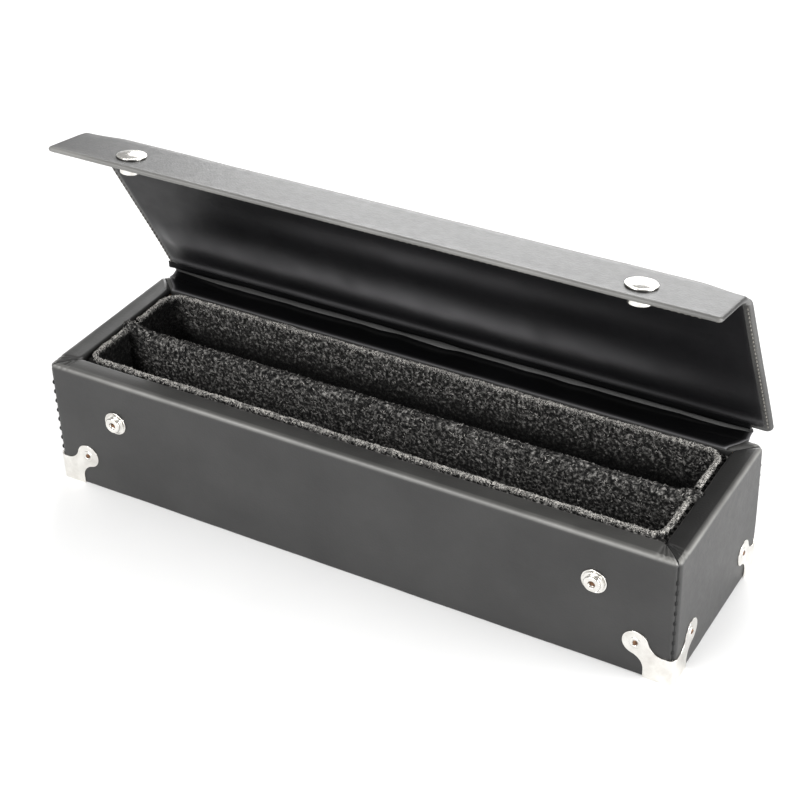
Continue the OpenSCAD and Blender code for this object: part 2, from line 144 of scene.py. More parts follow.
def faceOutwards(piece, toward=None):
    # merges doubles and turns all faces the same way, outwards; an open surface is turned to look
    # toward a direction
    work = bmesh.new()
    work.from_mesh(piece.data)
    bmesh.ops.remove_doubles(work, verts=work.verts, dist=1e-7)
    bmesh.ops.recalc_face_normals(work, faces=work.faces)
    if toward is not None:
        facing = sum((face.normal * face.calc_area() for face in work.faces), Vector())
        if facing.dot(Vector(toward)) < 0:
            bmesh.ops.reverse_faces(work, faces=work.faces)
    work.to_mesh(piece.data)
    work.free()


def meshPoints(piece):
    # a piece's own vertices, in millimetres
    points = np.empty(len(piece.data.vertices) * 3)
    piece.data.vertices.foreach_get("co", points)
    return points.reshape(-1, 3) / mm


def paintValue(piece, name, value):
    # stores a number from 0 to 1 for each vertex, for a material to read: rubbed wear with painted highlight,
    # painted shade, or tone
    attribute = piece.data.attributes.new(name, "FLOAT", "POINT")
    attribute.data.foreach_set("value", np.clip(value, 0, 1).astype(np.float32))


def addThickness(piece, thickness, offset=-1.0):
    # gives a surface its wall, in millimetres, away from the side that its faces look to
    solid = piece.modifiers.new("thickness", "SOLIDIFY")
    solid.thickness = thickness * mm
    solid.offset = offset
    solid.use_even_offset = False


def lineDirections(line):
    # unit steps along a line of points, from the differences of their neighbours
    step = np.gradient(line, axis=0)
    return step / np.linalg.norm(step, axis=1)[:, None]


def ringAround(side, across, steps):
    # a circle of unit vectors, side * cos(a) + across * sin(a), for each pair of sides
    a = np.linspace(0, 2 * np.pi, steps, endpoint=False)[:, None]
    side, across = np.asarray(side, float)[..., None, :], np.asarray(across, float)[..., None, :]
    return side * np.cos(a) + across * np.sin(a)


def arcPoints(centre, radius, start, end, count):
    # points on a circle from angle start to angle end, in degrees
    a = np.radians(np.linspace(start, end, count))
    return np.stack([centre[0] + radius * np.cos(a), centre[1] + radius * np.sin(a)], axis=-1)


def evenSteps(line, count=None, step=None):
    # points at even distances along a line, from its summed lengths
    run = np.concatenate([[0], np.cumsum(np.linalg.norm(np.diff(line, axis=0), axis=1))])
    want = np.linspace(0, run[-1], count or int(run[-1] / step))
    return np.stack([np.interp(want, run, line[:, k]) for k in range(line.shape[1])], axis=-1)


def smoothPath(points, count):
    # Catmull-Rom curve through the points, sampled evenly by its length
    p = np.asarray(points, float)
    p = np.vstack([2 * p[0] - p[1], p, 2 * p[-1] - p[-2]])
    t = np.linspace(0, len(p) - 3 - 1e-9, 60 * len(p))
    i = t.astype(int)
    f = (t - i)[:, None]
    a, b, c, d = p[i], p[i + 1], p[i + 2], p[i + 3]
    square, cube = 2 * a - 5 * b + 4 * c - d, 3 * b - a - 3 * c + d
    dense = 0.5 * (2 * b + (c - a) * f + square * f ** 2 + cube * f ** 3)
    return evenSteps(dense, count)


noiseMix = {"axes": (374761393, 668265263, 306783378), "seed": 1442695041, "stir": 1274126177}


def softNoise(points, seed=0):
    # smooth noise from -1 to 1: random values on a lattice, mixed with s * s * (3 - 2 * s)
    p = np.asarray(points, float)
    cell = np.floor(p).astype(np.int64)
    f = p - cell
    f = f * f * (3 - 2 * f)
    total = np.zeros(p.shape[:-1])
    for corner in range(2 ** p.shape[-1]):
        bits = np.array([(corner >> k) & 1 for k in range(p.shape[-1])])
        at = cell + bits
        h = (at * np.array(noiseMix["axes"])[: p.shape[-1]]).sum(-1) + seed * noiseMix["seed"]
        h = (h ^ (h >> 13)) * noiseMix["stir"]
        value = ((h ^ (h >> 16)) & 0xFFFF) / 32767.5 - 1
        weight = np.prod(np.where(bits == 1, f, 1 - f), axis=-1)
        total += weight * value
    return total


def smoothStep(x, low, high):
    # 0 below low, 1 above high, s * s * (3 - 2 * s) between
    s = np.clip((x - low) / (high - low), 0, 1)
    return s * s * (3 - 2 * s)


def turnedPiece(name, profile, centre, outward, side, material, steps):
    # a profile of (radius, height) turned about an axis: point = centre + radius * circle + height * outward
    profile = np.asarray(profile, float)
    outward = np.asarray(outward, float) / np.linalg.norm(outward)
    side = np.asarray(side, float) / np.linalg.norm(side)
    r, h = np.maximum(profile[:, 0], 0.01)[:, None, None], profile[:, 1][:, None, None]
    points = np.asarray(centre) + r * ringAround(side, np.cross(outward, side), steps) + h * outward
    faces = gridFaces(len(profile), steps, wrapCols=True).tolist()
    faces.append(list(range(steps))[::-1])
    faces.append([(len(profile) - 1) * steps + k for k in range(steps)])
    piece = makeMesh(name, points.reshape(-1, 3), faces, material)
    faceOutwards(piece)
    return piece


def stitchRow(name, centres, along, up, length, radius, material):
    # each stitch is a capsule bowed like an arch: centre + along * t + up * bow * (1 - t * t), with a
    # circle round it
    centres, along, up = (np.asarray(v, float) for v in (centres, along, up))
    rings, sides = 7, 8
    t = np.linspace(-1, 1, rings)
    width = np.sqrt(np.clip(1 - np.abs(t) ** 4, 0.02, 1)) * radius
    across = np.cross(along, up)
    bow = ((1 - t ** 2) * radius * 0.9)[:, None]
    line = centres[:, None] + along[:, None] * (t * length / 2)[:, None] + up[:, None] * bow
    points = line[:, :, None] + width[None, :, None, None] * ringAround(up, across, sides)[:, None]
    count = rings * sides
    one = gridFaces(rings, sides, wrapCols=True).tolist()
    one += [list(range(sides))[::-1], list(range(count - sides, count))]
    faces = [[v + k * count for v in face] for k in range(len(centres)) for face in one]
    piece = makeMesh(name, points.reshape(-1, 3), faces, material)
    faceOutwards(piece)
    return piece


def newMaterial(name):
    # a node material with its shader, and object coordinates to paint by
    material = bpy.data.materials.new(name)
    material.use_nodes = True
    nodes, links = material.node_tree.nodes, material.node_tree.links
    shader = nodes["Principled BSDF"]
    coords = nodes.new("ShaderNodeTexCoord")
    return material, nodes, links, shader, coords


def noiseNode(nodes, links, coords, scale, detail=4.0, rough=0.55):
    # fractal noise over the piece, scale cells per metre
    noise = nodes.new("ShaderNodeTexNoise")
    noise.inputs["Scale"].default_value = scale
    noise.inputs["Detail"].default_value = detail
    noise.inputs["Roughness"].default_value = rough
    links.new(coords.outputs["Object"], noise.inputs["Vector"])
    return noise


def rampNode(nodes, links, source, stops):
    # colour ramp over a grey input; stops are (position, (r, g, b))
    ramp = nodes.new("ShaderNodeValToRGB")
    while len(ramp.color_ramp.elements) < len(stops):
        ramp.color_ramp.elements.new(0.5)
    for element, (position, colour) in zip(ramp.color_ramp.elements, stops):
        element.position = position
        element.color = (*colour, 1)
    links.new(source, ramp.inputs["Fac"])
    return ramp


def bumpNode(nodes, links, height, strength, distance, after=None):
    # a small rise and fall from a grey input, on top of the bump before it
    bump = nodes.new("ShaderNodeBump")
    bump.inputs["Strength"].default_value = strength
    bump.inputs["Distance"].default_value = distance
    links.new(height, bump.inputs["Height"])
    if after is not None:
        links.new(after.outputs["Normal"], bump.inputs["Normal"])
    return bump


def mixedByAttribute(nodes, links, name):
    # a colour mix, A where the attribute is 0 and B where it is 1
    attribute = nodes.new("ShaderNodeAttribute")
    attribute.attribute_name = name
    mix = nodes.new("ShaderNodeMix")
    mix.data_type = "RGBA"
    links.new(attribute.outputs["Fac"], mix.inputs["Factor"])
    return mix


def rangeNode(nodes, links, source, low, high):
    # noise between 0.3 and 0.7 spread over low to high
    ranged = nodes.new("ShaderNodeMapRange")
    ranged.inputs["From Min"].default_value = 0.3
    ranged.inputs["From Max"].default_value = 0.7
    ranged.inputs["To Min"].default_value = low
    ranged.inputs["To Max"].default_value = high
    links.new(source, ranged.inputs["Value"])
    return ranged


leatherLook = {
    "dark": (0.0125, 0.0123, 0.0122),
    "light": (0.025, 0.0248, 0.0244),
    "rough": (0.41, 0.47),
    "specular": 0.55,
    "wearAndSheen": (0.215, 0.212, 0.202),       # paler colour of rubbed edges and rim, and of painted highlights
    "pebble": 900.0,       # cells per metre of the embossed grain
    "crease": 260.0,
    "bump": 0.35,
}


def blackLeather(name, look):
    # embossed grain: small cells, finer noise on top, and slow changes of tone; paler where the
    # wear-and-highlight attribute says, which holds rubbed wear and painted highlights
    material, nodes, links, shader, coords = newMaterial(name)
    slow = noiseNode(nodes, links, coords, 22.0, 3.0)
    fine = noiseNode(nodes, links, coords, 2600.0, 2.0)
    crease = noiseNode(nodes, links, coords, look["crease"], 5.0, 0.62)
    cells = nodes.new("ShaderNodeTexVoronoi")
    cells.inputs["Scale"].default_value = look["pebble"]
    links.new(coords.outputs["Object"], cells.inputs["Vector"])
    tone = rampNode(nodes, links, slow.outputs["Fac"], [(0.3, look["dark"]), (0.7, look["light"])])
    shader.inputs["Specular IOR Level"].default_value = look["specular"]
    mix = mixedByAttribute(nodes, links, "wearAndSheen")
    links.new(tone.outputs["Color"], mix.inputs["A"])
    mix.inputs["B"].default_value = (*look["wearAndSheen"], 1)
    links.new(mix.outputs["Result"], shader.inputs["Base Color"])
    rough = rangeNode(nodes, links, crease.outputs["Fac"], *look["rough"])
    links.new(rough.outputs["Result"], shader.inputs["Roughness"])
    first = bumpNode(nodes, links, cells.outputs["Distance"], look["bump"], 0.00012)
    second = bumpNode(nodes, links, crease.outputs["Fac"], look["bump"] * 0.4, 0.00025, first)
    third = bumpNode(nodes, links, fine.outputs["Fac"], look["bump"] * 0.6, 0.00004, second)
    links.new(third.outputs["Normal"], shader.inputs["Normal"])
    return material


liningLook = {
    "dark": (0.0050, 0.0050, 0.0056),
    "light": (0.0095, 0.0092, 0.0102),
    "rough": (0.36, 0.48),
    "pebble": 1500.0,
    "crease": 60.0,
    "bump": 0.14,
    "specular": 0.20,
    "wearAndSheen": (0.140, 0.138, 0.143),       # painted sheen where the lining swells
}


carpetLook = {
    "stops": [(0.40, (0.004, 0.004, 0.004)), (0.49, (0.022, 0.0215, 0.021)), (0.56, (0.12, 0.117, 0.112)),
              (0.65, (0.38, 0.37, 0.355))],
    "fleck": 640.0,
    "clump": 460.0,
}


def carpetFelt(name, look):
    # dark felt flecked with light fibres, from two noises; "shade" fades it to black low in the lanes, a
    # painted shade
    material, nodes, links, shader, coords = newMaterial(name)
    fleck = noiseNode(nodes, links, coords, look["fleck"], 2.0, 0.6)
    clump = noiseNode(nodes, links, coords, look["clump"], 4.0, 0.6)
    mix = nodes.new("ShaderNodeMath")
    mix.operation = "ADD"
    half = nodes.new("ShaderNodeMath")
    half.operation = "MULTIPLY"
    half.inputs[1].default_value = 0.5
    links.new(fleck.outputs["Fac"], mix.inputs[0])
    links.new(clump.outputs["Fac"], mix.inputs[1])
    links.new(mix.outputs[0], half.inputs[0])
    tone = rampNode(nodes, links, half.outputs[0], look["stops"])
    deep = mixedByAttribute(nodes, links, "shade")
    deep.inputs["A"].default_value = (0.0015, 0.0015, 0.0015, 1)
    links.new(tone.outputs["Color"], deep.inputs["B"])
    links.new(deep.outputs["Result"], shader.inputs["Base Color"])
    shader.inputs["Roughness"].default_value = 0.95
    shader.inputs["Specular IOR Level"].default_value = 0.15
    bump = bumpNode(nodes, links, half.outputs[0], 1.0, 0.0012)
    links.new(bump.outputs["Normal"], shader.inputs["Normal"])
    return material


def fibreFelt(name, stops):
    # single fibres, each painted by its own tone attribute
    material, nodes, links, shader, coords = newMaterial(name)
    tone = nodes.new("ShaderNodeAttribute")
    tone.attribute_name = "tone"
    ramp = rampNode(nodes, links, tone.outputs["Fac"], stops)
    links.new(ramp.outputs["Color"], shader.inputs["Base Color"])
    shader.inputs["Roughness"].default_value = 0.8
    shader.inputs["Specular IOR Level"].default_value = 0.25
    return material


nickelLook = {"light": (0.80, 0.785, 0.75), "dark": (0.66, 0.64, 0.605), "rough": (0.17, 0.28)}


def nickelPlate(name, look):
    # bright nickel with faint cloudiness and handling marks
    material, nodes, links, shader, coords = newMaterial(name)
    cloud = noiseNode(nodes, links, coords, 160.0, 4.0)
    marks = noiseNode(nodes, links, coords, 1800.0, 6.0, 0.7)
    tone = rampNode(nodes, links, cloud.outputs["Fac"], [(0.3, look["dark"]), (0.6, look["light"])])
    links.new(tone.outputs["Color"], shader.inputs["Base Color"])
    rough = rangeNode(nodes, links, marks.outputs["Fac"], *look["rough"])
    links.new(rough.outputs["Result"], shader.inputs["Roughness"])
    shader.inputs["Metallic"].default_value = 1.0
    bump = bumpNode(nodes, links, cloud.outputs["Fac"], 0.03, 0.0002)
    links.new(bump.outputs["Normal"], shader.inputs["Normal"])
    return material


def plainLook(name, dark, light, scale, rough, metallic=0.0, bump=0.3, depth=0.0002, stretch=None):
    # grainy two-tone finish for wood, card, thread and dull metal
    material, nodes, links, shader, coords = newMaterial(name)
    grain = noiseNode(nodes, links, coords, scale, 5.0, 0.6)
    if stretch:
        mapping = nodes.new("ShaderNodeMapping")
        mapping.inputs["Scale"].default_value = stretch
        links.new(coords.outputs["Object"], mapping.inputs["Vector"])
        links.new(mapping.outputs["Vector"], grain.inputs["Vector"])
    tone = rampNode(nodes, links, grain.outputs["Fac"], [(0.35, dark), (0.65, light)])
    links.new(tone.outputs["Color"], shader.inputs["Base Color"])
    shader.inputs["Roughness"].default_value = rough
    shader.inputs["Metallic"].default_value = metallic
    rise = bumpNode(nodes, links, grain.outputs["Fac"], bump, depth)
    links.new(rise.outputs["Normal"], shader.inputs["Normal"])
    return material


leather = blackLeather("blackLeather", leatherLook)
lining = blackLeather("satinLining", liningLook)
# a darker copy of the lining for the hinge gusset: painted shade, as the gusset lies in shadow
gussetLook = {**liningLook, "dark": (0.002, 0.002, 0.0022), "light": (0.004, 0.004, 0.0044), "specular": 0.1}
shadedLining = blackLeather("shadedLining", gussetLook)
carpet = carpetFelt("carpetFelt", carpetLook)
fibres = fibreFelt("carpetFibres", [(0.0, (0.008, 0.008, 0.008)), (0.38, (0.035, 0.034, 0.033)),
                                    (0.6, (0.22, 0.215, 0.205)), (0.85, (0.62, 0.60, 0.57))])
# lighter fibres for the top cut edges: a painted highlight where light falls on the top edge
cutFibresHighlight = fibreFelt("cutEdgeHighlightFibres", [(0.0, (0.035, 0.034, 0.032)), (0.4, (0.24, 0.234, 0.222)),
                                        (0.9, (0.80, 0.775, 0.73))])
nickel = nickelPlate("nickelPlate", nickelLook)
bronze = plainLook("dullBronze", (0.07, 0.036, 0.02), (0.22, 0.115, 0.06), 900.0, 0.45, 0.7)
thread = plainLook("blackThread", (0.003, 0.003, 0.003), (0.009, 0.009, 0.009), 4000.0, 0.8)
greyThread = plainLook("greyThread", (0.10, 0.094, 0.084), (0.20, 0.19, 0.17), 4000.0, 0.75)
wood = plainLook("poplarWood", (0.42, 0.27, 0.13), (0.62, 0.44, 0.25), 60.0, 0.65, stretch=(0.08, 1, 1))
card = plainLook("greyCard", (0.20, 0.16, 0.11), (0.32, 0.26, 0.19), 700.0, 0.85)
print("materials made:", len(bpy.data.materials))


cameraSettings = {"azimuth": 30.79, "elevation": 33.93, "roll": -1.77, "distance": 0.9618,
                  "aim": (-0.0136, 0.0308, 0.0496), "lens": 83.86}


def placeCamera(settings):
    # the camera looks at aim from azimuth and elevation, turned by roll about its own line of sight
    a, e = math.radians(settings["azimuth"]), math.radians(settings["elevation"])
    back = Vector((math.sin(a) * math.cos(e), -math.cos(a) * math.cos(e), math.sin(e)))
    right = Vector((math.cos(a), math.sin(a), 0))
    up = back.cross(right)
    roll = math.radians(settings["roll"])
    right, up = right * math.cos(roll) + up * math.sin(roll), up * math.cos(roll) - right * math.sin(roll)
    camera = bpy.data.objects.new("camera", bpy.data.cameras.new("camera"))
    bpy.context.scene.collection.objects.link(camera)
    camera.data.lens = settings["lens"]
    camera.data.sensor_width = 36
    turn = Matrix((right, up, back)).transposed().to_4x4()
    camera.matrix_world = Matrix.Translation(Vector(settings["aim"]) + back * settings["distance"]) @ turn
    bpy.context.scene.camera = camera


placeCamera(cameraSettings)

lightSettings = {
    "sky": (1.0, 0.995, 0.98), "skyStrength": 0.46,
    # name: place, point aimed at, width, height, watts
    "lamps": {
        "backSoft": ((-0.42, 1.80, 0.78), (0, 0, 0.15), 1.75, 1.1, 36.0),
        "edgeSoft": ((-0.63, -0.84, 1.06), (0, 0, 0.06), 0.5, 0.4, 9.0),
        "frontKey": ((-0.35, -1.35, 0.92), (0, 0, 0.06), 0.7, 0.5, 7.0),
        "rightSoft": ((1.25, 0.05, 0.50), (0, 0, 0.04), 0.9, 0.8, 23.0),
        "lidSoft": ((-0.25, -1.55, 0.14), (0, 0.03, 0.12), 1.1, 0.22, 5.0),
    },
}


def lightScene(settings):
    # a pale world and the soft lamps
    world = bpy.data.worlds.new("paleRoom")
    world.use_nodes = True
    shade = world.node_tree.nodes["Background"]
    shade.inputs["Color"].default_value = (*settings["sky"], 1)
    shade.inputs["Strength"].default_value = settings["skyStrength"]
    bpy.context.scene.world = world
    for name, (place, aim, width, height, watts) in settings["lamps"].items():
        data = bpy.data.lights.new(name, "AREA")
        data.shape, data.size, data.size_y, data.energy = "RECTANGLE", width, height, watts
        lamp = bpy.data.objects.new(name, data)
        lamp.visible_camera = False
        lamp.location = place
        lamp.rotation_euler = (Vector(aim) - Vector(place)).to_track_quat("-Z", "Y").to_euler()
        bpy.context.scene.collection.objects.link(lamp)
    bpy.context.scene.view_settings.view_transform = "Standard"


lightScene(lightSettings)

floorLook = plainLook("paleFloor", (0.86, 0.86, 0.86), (0.90, 0.90, 0.90), 3.0, 0.6, bump=0.0)
floorSize, floorZ = 6000.0, -0.02
floorCorners = [(x * floorSize, y * floorSize, floorZ) for x, y in ((-1, -1), (1, -1), (1, 1), (-1, 1))]
floor = makeMesh("floor", floorCorners, [[0, 1, 2, 3]], floorLook)
print("camera, lights and floor placed")


wallLeather = {
    "skin": 1.1,           # thickness of the leather
    "cornerR": 3.2,        # upright corners
    "topR": 2.3,           # outer edge of the rim
    "innerR": 1.8,         # inner edge of the rim
    "footR": 0.9,
    "turnIn": 9.0,         # how far the modelled leather goes down inside the rim
    "crown": 0.22,         # padding on the rim
    "bulge": 0.30,         # padding on the walls
    "foldWidth": 2.5,      # the groove where two leathers meet
    "foldDepth": 1.1,
    "seamDepth": 0.7,
    "cordR": 0.75,         # the dark welt at the bottom of the groove, which also paints the groove's shade as a dark line
    # paler rim per side: rubbed wear and painted sheen; the outer top edge gets a painted highlight line
    "rimWearAndSheen": {"front": 0.20, "left": 0.10, "back": 0.15, "right": 0.02},
    "edgeHighlight": 0.95,
    # folds fanning out from the lining's front corners: angle, width, depth, and where each starts and ends
    "gathers": ((-68, 5.0, 0.42, 2, 15), (-84, 6.0, 0.28, 3, 15), (-27, 5.0, 0.50, 3, 21),
                (-14, 5.0, 0.36, 3, 24), (-56, 3.5, 0.25, 6, 17), (-36, 3.5, 0.28, 7, 17)),
    "gatherShare": 1.9,
}


def wallProfile(s):
    # (inward distance, height) from the foot, up the wall, over the rim and down inside it
    h, w = case["height"], case["wall"]
    foot = arcPoints((s["footR"], s["footR"]), s["footR"], 270, 180, 5)
    wall = np.stack([np.zeros(26), np.linspace(s["footR"] + 1.5, h - s["topR"] - 1, 26)], axis=-1)
    top = arcPoints((s["topR"], h - s["topR"]), s["topR"], 180, 90, 9)
    rim = np.stack([np.linspace(s["topR"] + 0.5, w - s["innerR"] - 0.4, 12), np.full(12, h)], axis=-1)
    inner = arcPoints((w - s["innerR"], h - s["innerR"]), s["innerR"], 90, 0, 7)
    inside = np.stack([np.full(4, w), np.linspace(h - s["innerR"] - 1.5, h - s["turnIn"], 4)], axis=-1)
    return np.vstack([foot, wall, top, rim, inner, inside])


def gatherDepth(x, y, atRim):
    # grooves at set angles about the lining's corner: a bell curve across each, faded along its length
    dx, dy = x - case["roomX"], y + case["roomY"]
    angle = np.degrees(np.arctan2(dy, dx))
    reach = np.hypot(dx, dy)
    depth = np.zeros_like(angle)
    for middle, width, deep, start, end in wallLeather["gathers"]:
        along = smoothStep(reach, start - 1.5, start + 1.5) * (1 - smoothStep(reach, end - 3, end + 1))
        depth += deep * np.exp(-((angle - middle) / width) ** 2) * along
    return wallLeather["gatherShare"] * depth * atRim


def wallCover(name, node, halfLength, turn, offset, s, material):
    # the wall's profile carried along it; each end closes on the mitre and is tucked into the fold
    profile = wallProfile(s)
    d, z = profile[:, 0][:, None], profile[:, 1][:, None]
    flat = halfLength - case["wall"] - 6
    body = np.linspace(-1, 1, max(9, int(flat / 3.5) * 2 + 1))
    ends = np.concatenate([np.linspace(0, 0.9, 26)[1:], np.linspace(0.9, 1, 16)[1:]])
    radius = np.maximum(s["cornerR"] - d, 0)
    straightEnd = np.where(radius > 0, halfLength - s["cornerR"], halfLength - d) - flat
    total = straightEnd + radius * math.pi / 4
    run = ends[None, :] * total
    bend = np.clip(run - straightEnd, 0, None) / np.maximum(radius, 1e-6) * (radius > 0)
    xEnd = flat + np.minimum(run, straightEnd) + radius * np.sin(bend)
    dEnd = d + radius * (1 - np.cos(bend))
    toEdge = total - run
    xBody = body[None, :] * flat + 0 * d
    x = np.hstack([-xEnd[:, ::-1], xBody, xEnd])
    inward = np.hstack([dEnd[:, ::-1], d + 0 * xBody, dEnd])
    edge = np.hstack([toEdge[:, ::-1], np.full_like(xBody, 99.0), toEdge])
    swing = np.hstack([-bend[:, ::-1], 0 * xBody, bend])
    height = z + 0 * x
    # the surface's own direction: out of the wall at its foot, up on the rim, into the room inside it
    tangent = lineDirections(profile)
    outD, outZ = -tangent[:, 1][:, None], tangent[:, 0][:, None]
    # padding and unevenness
    rimShare = np.clip(outZ, 0, 1) * (z > case["height"] - 3)
    wallShare = np.clip(-outD, 0, 1)
    across = np.clip((inward - s["topR"]) / (case["wall"] - s["topR"] - s["innerR"]), 0, 1)
    upWall = np.clip(height / case["height"], 0, 1)
    lift = s["crown"] * rimShare * np.sin(np.pi * across) + s["bulge"] * wallShare * np.sin(np.pi * upWall)
    turnCos, turnSin = math.cos(turn), math.sin(turn)
    outer = offset - inward
    worldX = x * turnCos + outer * turnSin
    worldY = x * turnSin - outer * turnCos
    place = np.stack([worldX, worldY, height], axis=-1)
    lift = lift + 0.10 * softNoise(place / 24, 3) + 0.05 * softNoise(place / 9, 4)
    lift = lift - gatherDepth(worldX, worldY, rimShare)
    lift = lift - gatherDepth(-worldX, worldY, rimShare) * 0.8
    # the borders dive into the fold between two leathers
    deep = s["seamDepth"] + (s["foldDepth"] - s["seamDepth"]) * rimShare
    lift = np.maximum(lift, -0.75) - deep * np.clip(1 - edge / s["foldWidth"], 0, 1) ** 1.4
    lift = np.maximum(lift, -1.12)
    nx = np.sin(swing) * -outD
    nd = outD * np.cos(swing)
    x = x + lift * nx
    inward = inward + lift * nd
    height = height + lift * outZ
    outer = offset - inward
    points = np.stack([x * turnCos + outer * turnSin, x * turnSin - outer * turnCos, height], axis=-1)
    piece = makeMesh(name, points.reshape(-1, 3), gridFaces(*x.shape), material)
    faceOutwards(piece, (turnSin, -turnCos, 0))
    # the rim is paler, unevenly: rubbed wear with painted sheen set side by side, and a painted highlight
    # line along its outer edge
    where = meshPoints(piece)
    atTop = smoothStep(where[:, 2], case["height"] - 2.6, case["height"] - 0.5)
    outside = offset - (where[:, 0] * turnSin - where[:, 1] * turnCos)
    edgeLine = np.exp(-((where[:, 2] - case["height"] + 0.9) / 0.8) ** 2) * (outside < s["topR"] + 0.5)
    cloud = 0.8 + 0.3 * softNoise(where / 31, 5) + 0.15 * softNoise(where / 6, 6)
    rimWearAndSheen = s["rimWearAndSheen"][node.split("_")[0]] * (outside > 0.6)
    paintValue(piece, "wearAndSheen", (atTop * rimWearAndSheen + s["edgeHighlight"] * edgeLine) * cloud)
    addThickness(piece, s["skin"])
    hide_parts(node)
    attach(piece, "case")
    return piece


walls = (("frontLeather", "front_cover", case["halfLength"], 0, case["halfDepth"]),
         ("rightLeather", "right_end_cover", case["halfDepth"], math.pi / 2, case["halfLength"]),
         ("backLeather", "back_cover", case["halfLength"], math.pi, case["halfDepth"]),
         ("leftLeather", "left_end_cover", case["halfDepth"], -math.pi / 2, case["halfLength"]))
for name, node, halfLength, turn, offset in walls:
    wallCover(name, node, halfLength, turn, offset, wallLeather, leather)


corners = ((-1, -1), (-1, 1), (1, -1), (1, 1))      # signs of x and y


def cornerShadeWelts(s):
    # a thin black welt lies in each corner's groove: up the round corner, over the rim and in along the
    # mitre; it paints the groove's shade as a dark line
    profile = wallProfile(s)[3:-3]
    d, z = profile[:, 0], profile[:, 1]
    r = s["cornerR"]
    reach = np.where(d < r, (r - (r - d) / math.sqrt(2)), d)      # both ways in from the two faces
    tangent = lineDirections(np.stack([reach * math.sqrt(2), z], axis=-1))
    normal = np.stack([-tangent[:, 1], tangent[:, 0]], axis=-1)   # (along the diagonal inward, up)
    sink = s["cordR"] + np.where(z > case["height"] - 3, s["foldDepth"], s["seamDepth"]) - 0.5
    sides = 8
    points, faces, count = [], [], 0
    for sx, sy in corners:
        out = np.array([sx, sy, 0]) / math.sqrt(2)
        across = np.array([-sy, sx, 0]) / math.sqrt(2)
        inX, inY = case["halfLength"] - reach, case["halfDepth"] - reach
        up = -normal[:, :1] * out + normal[:, 1:] * np.array([0, 0, 1.0])
        line = np.stack([sx * inX, sy * inY, z], axis=-1) - up * sink[:, None]
        points.append((line[:, None] + s["cordR"] * ringAround(up, across, sides)).reshape(-1, 3))
        faces.append(gridFaces(len(line), sides, wrapCols=True) + count)
        count += len(line) * sides
    piece = makeMesh("cornerShadeWelts", np.vstack(points), np.vstack(faces), thread)
    faceOutwards(piece)
    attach(piece, "case")


cornerShadeWelts(wallLeather)
print("box leather made")


lidForm = {"thin": 0.24, "left": 5.2, "right": 1.4}


def drawnIn(x, s):
    # x moved towards +X, on each side by its own share, from nothing at the flap to all of it at the hinge
    share = 1 - smoothStep(s, lid["heel"], lid["arc"])
    return x + share * np.where(x < 0, lidForm["left"] * -x, lidForm["right"] * x) / lid["halfLength"]


# The lid and flap are one sheet: s runs from the fold's start, down the panel where it is negative,
# round the fold and out along the flap. Depth n is measured in from the outer leather.
def lidPlace(x, s, n):
    # point = fold axis + (radius - n) * normal, plus what is left of s along the panel or along the flap;
    # the flap is thinner, so n is scaled there, and the left side of the panel is drawn in towards the hinge
    n = n * (1 - lidForm["thin"] * smoothStep(s, lid["arc"], lid["arc"] + 9))
    x = drawnIn(x, s)
    a = np.clip(s / lid["radius"], 0, lid["foldAngle"])
    yz = lid["fold"] + (lid["radius"] - n)[..., None] * turned(lid["out"], a)
    yz = yz + np.minimum(s, 0)[..., None] * lid["up"]
    yz = yz + np.maximum(s - lid["arc"], 0)[..., None] * lid["flapUp"]
    return np.stack([x + 0 * yz[..., 0], yz[..., 0], yz[..., 1]], axis=-1)


def foldDroop(x, s):
    # the ends of the fold sink towards its axis
    inFold = smoothStep(s, -3, lid["arc"] / 2) * (1 - smoothStep(s, lid["arc"] / 2, lid["arc"] + 3))
    return 1.7 * inFold * smoothStep(np.abs(x), lid["halfLength"] - 24, lid["halfLength"])


def cornerCut(fromEnd, radius):
    # how far a round corner draws the side in, at a distance from the end, and the sine of its slope there
    short = np.clip(radius - fromEnd, 0, radius)
    return radius - np.sqrt(radius ** 2 - short ** 2), short / radius


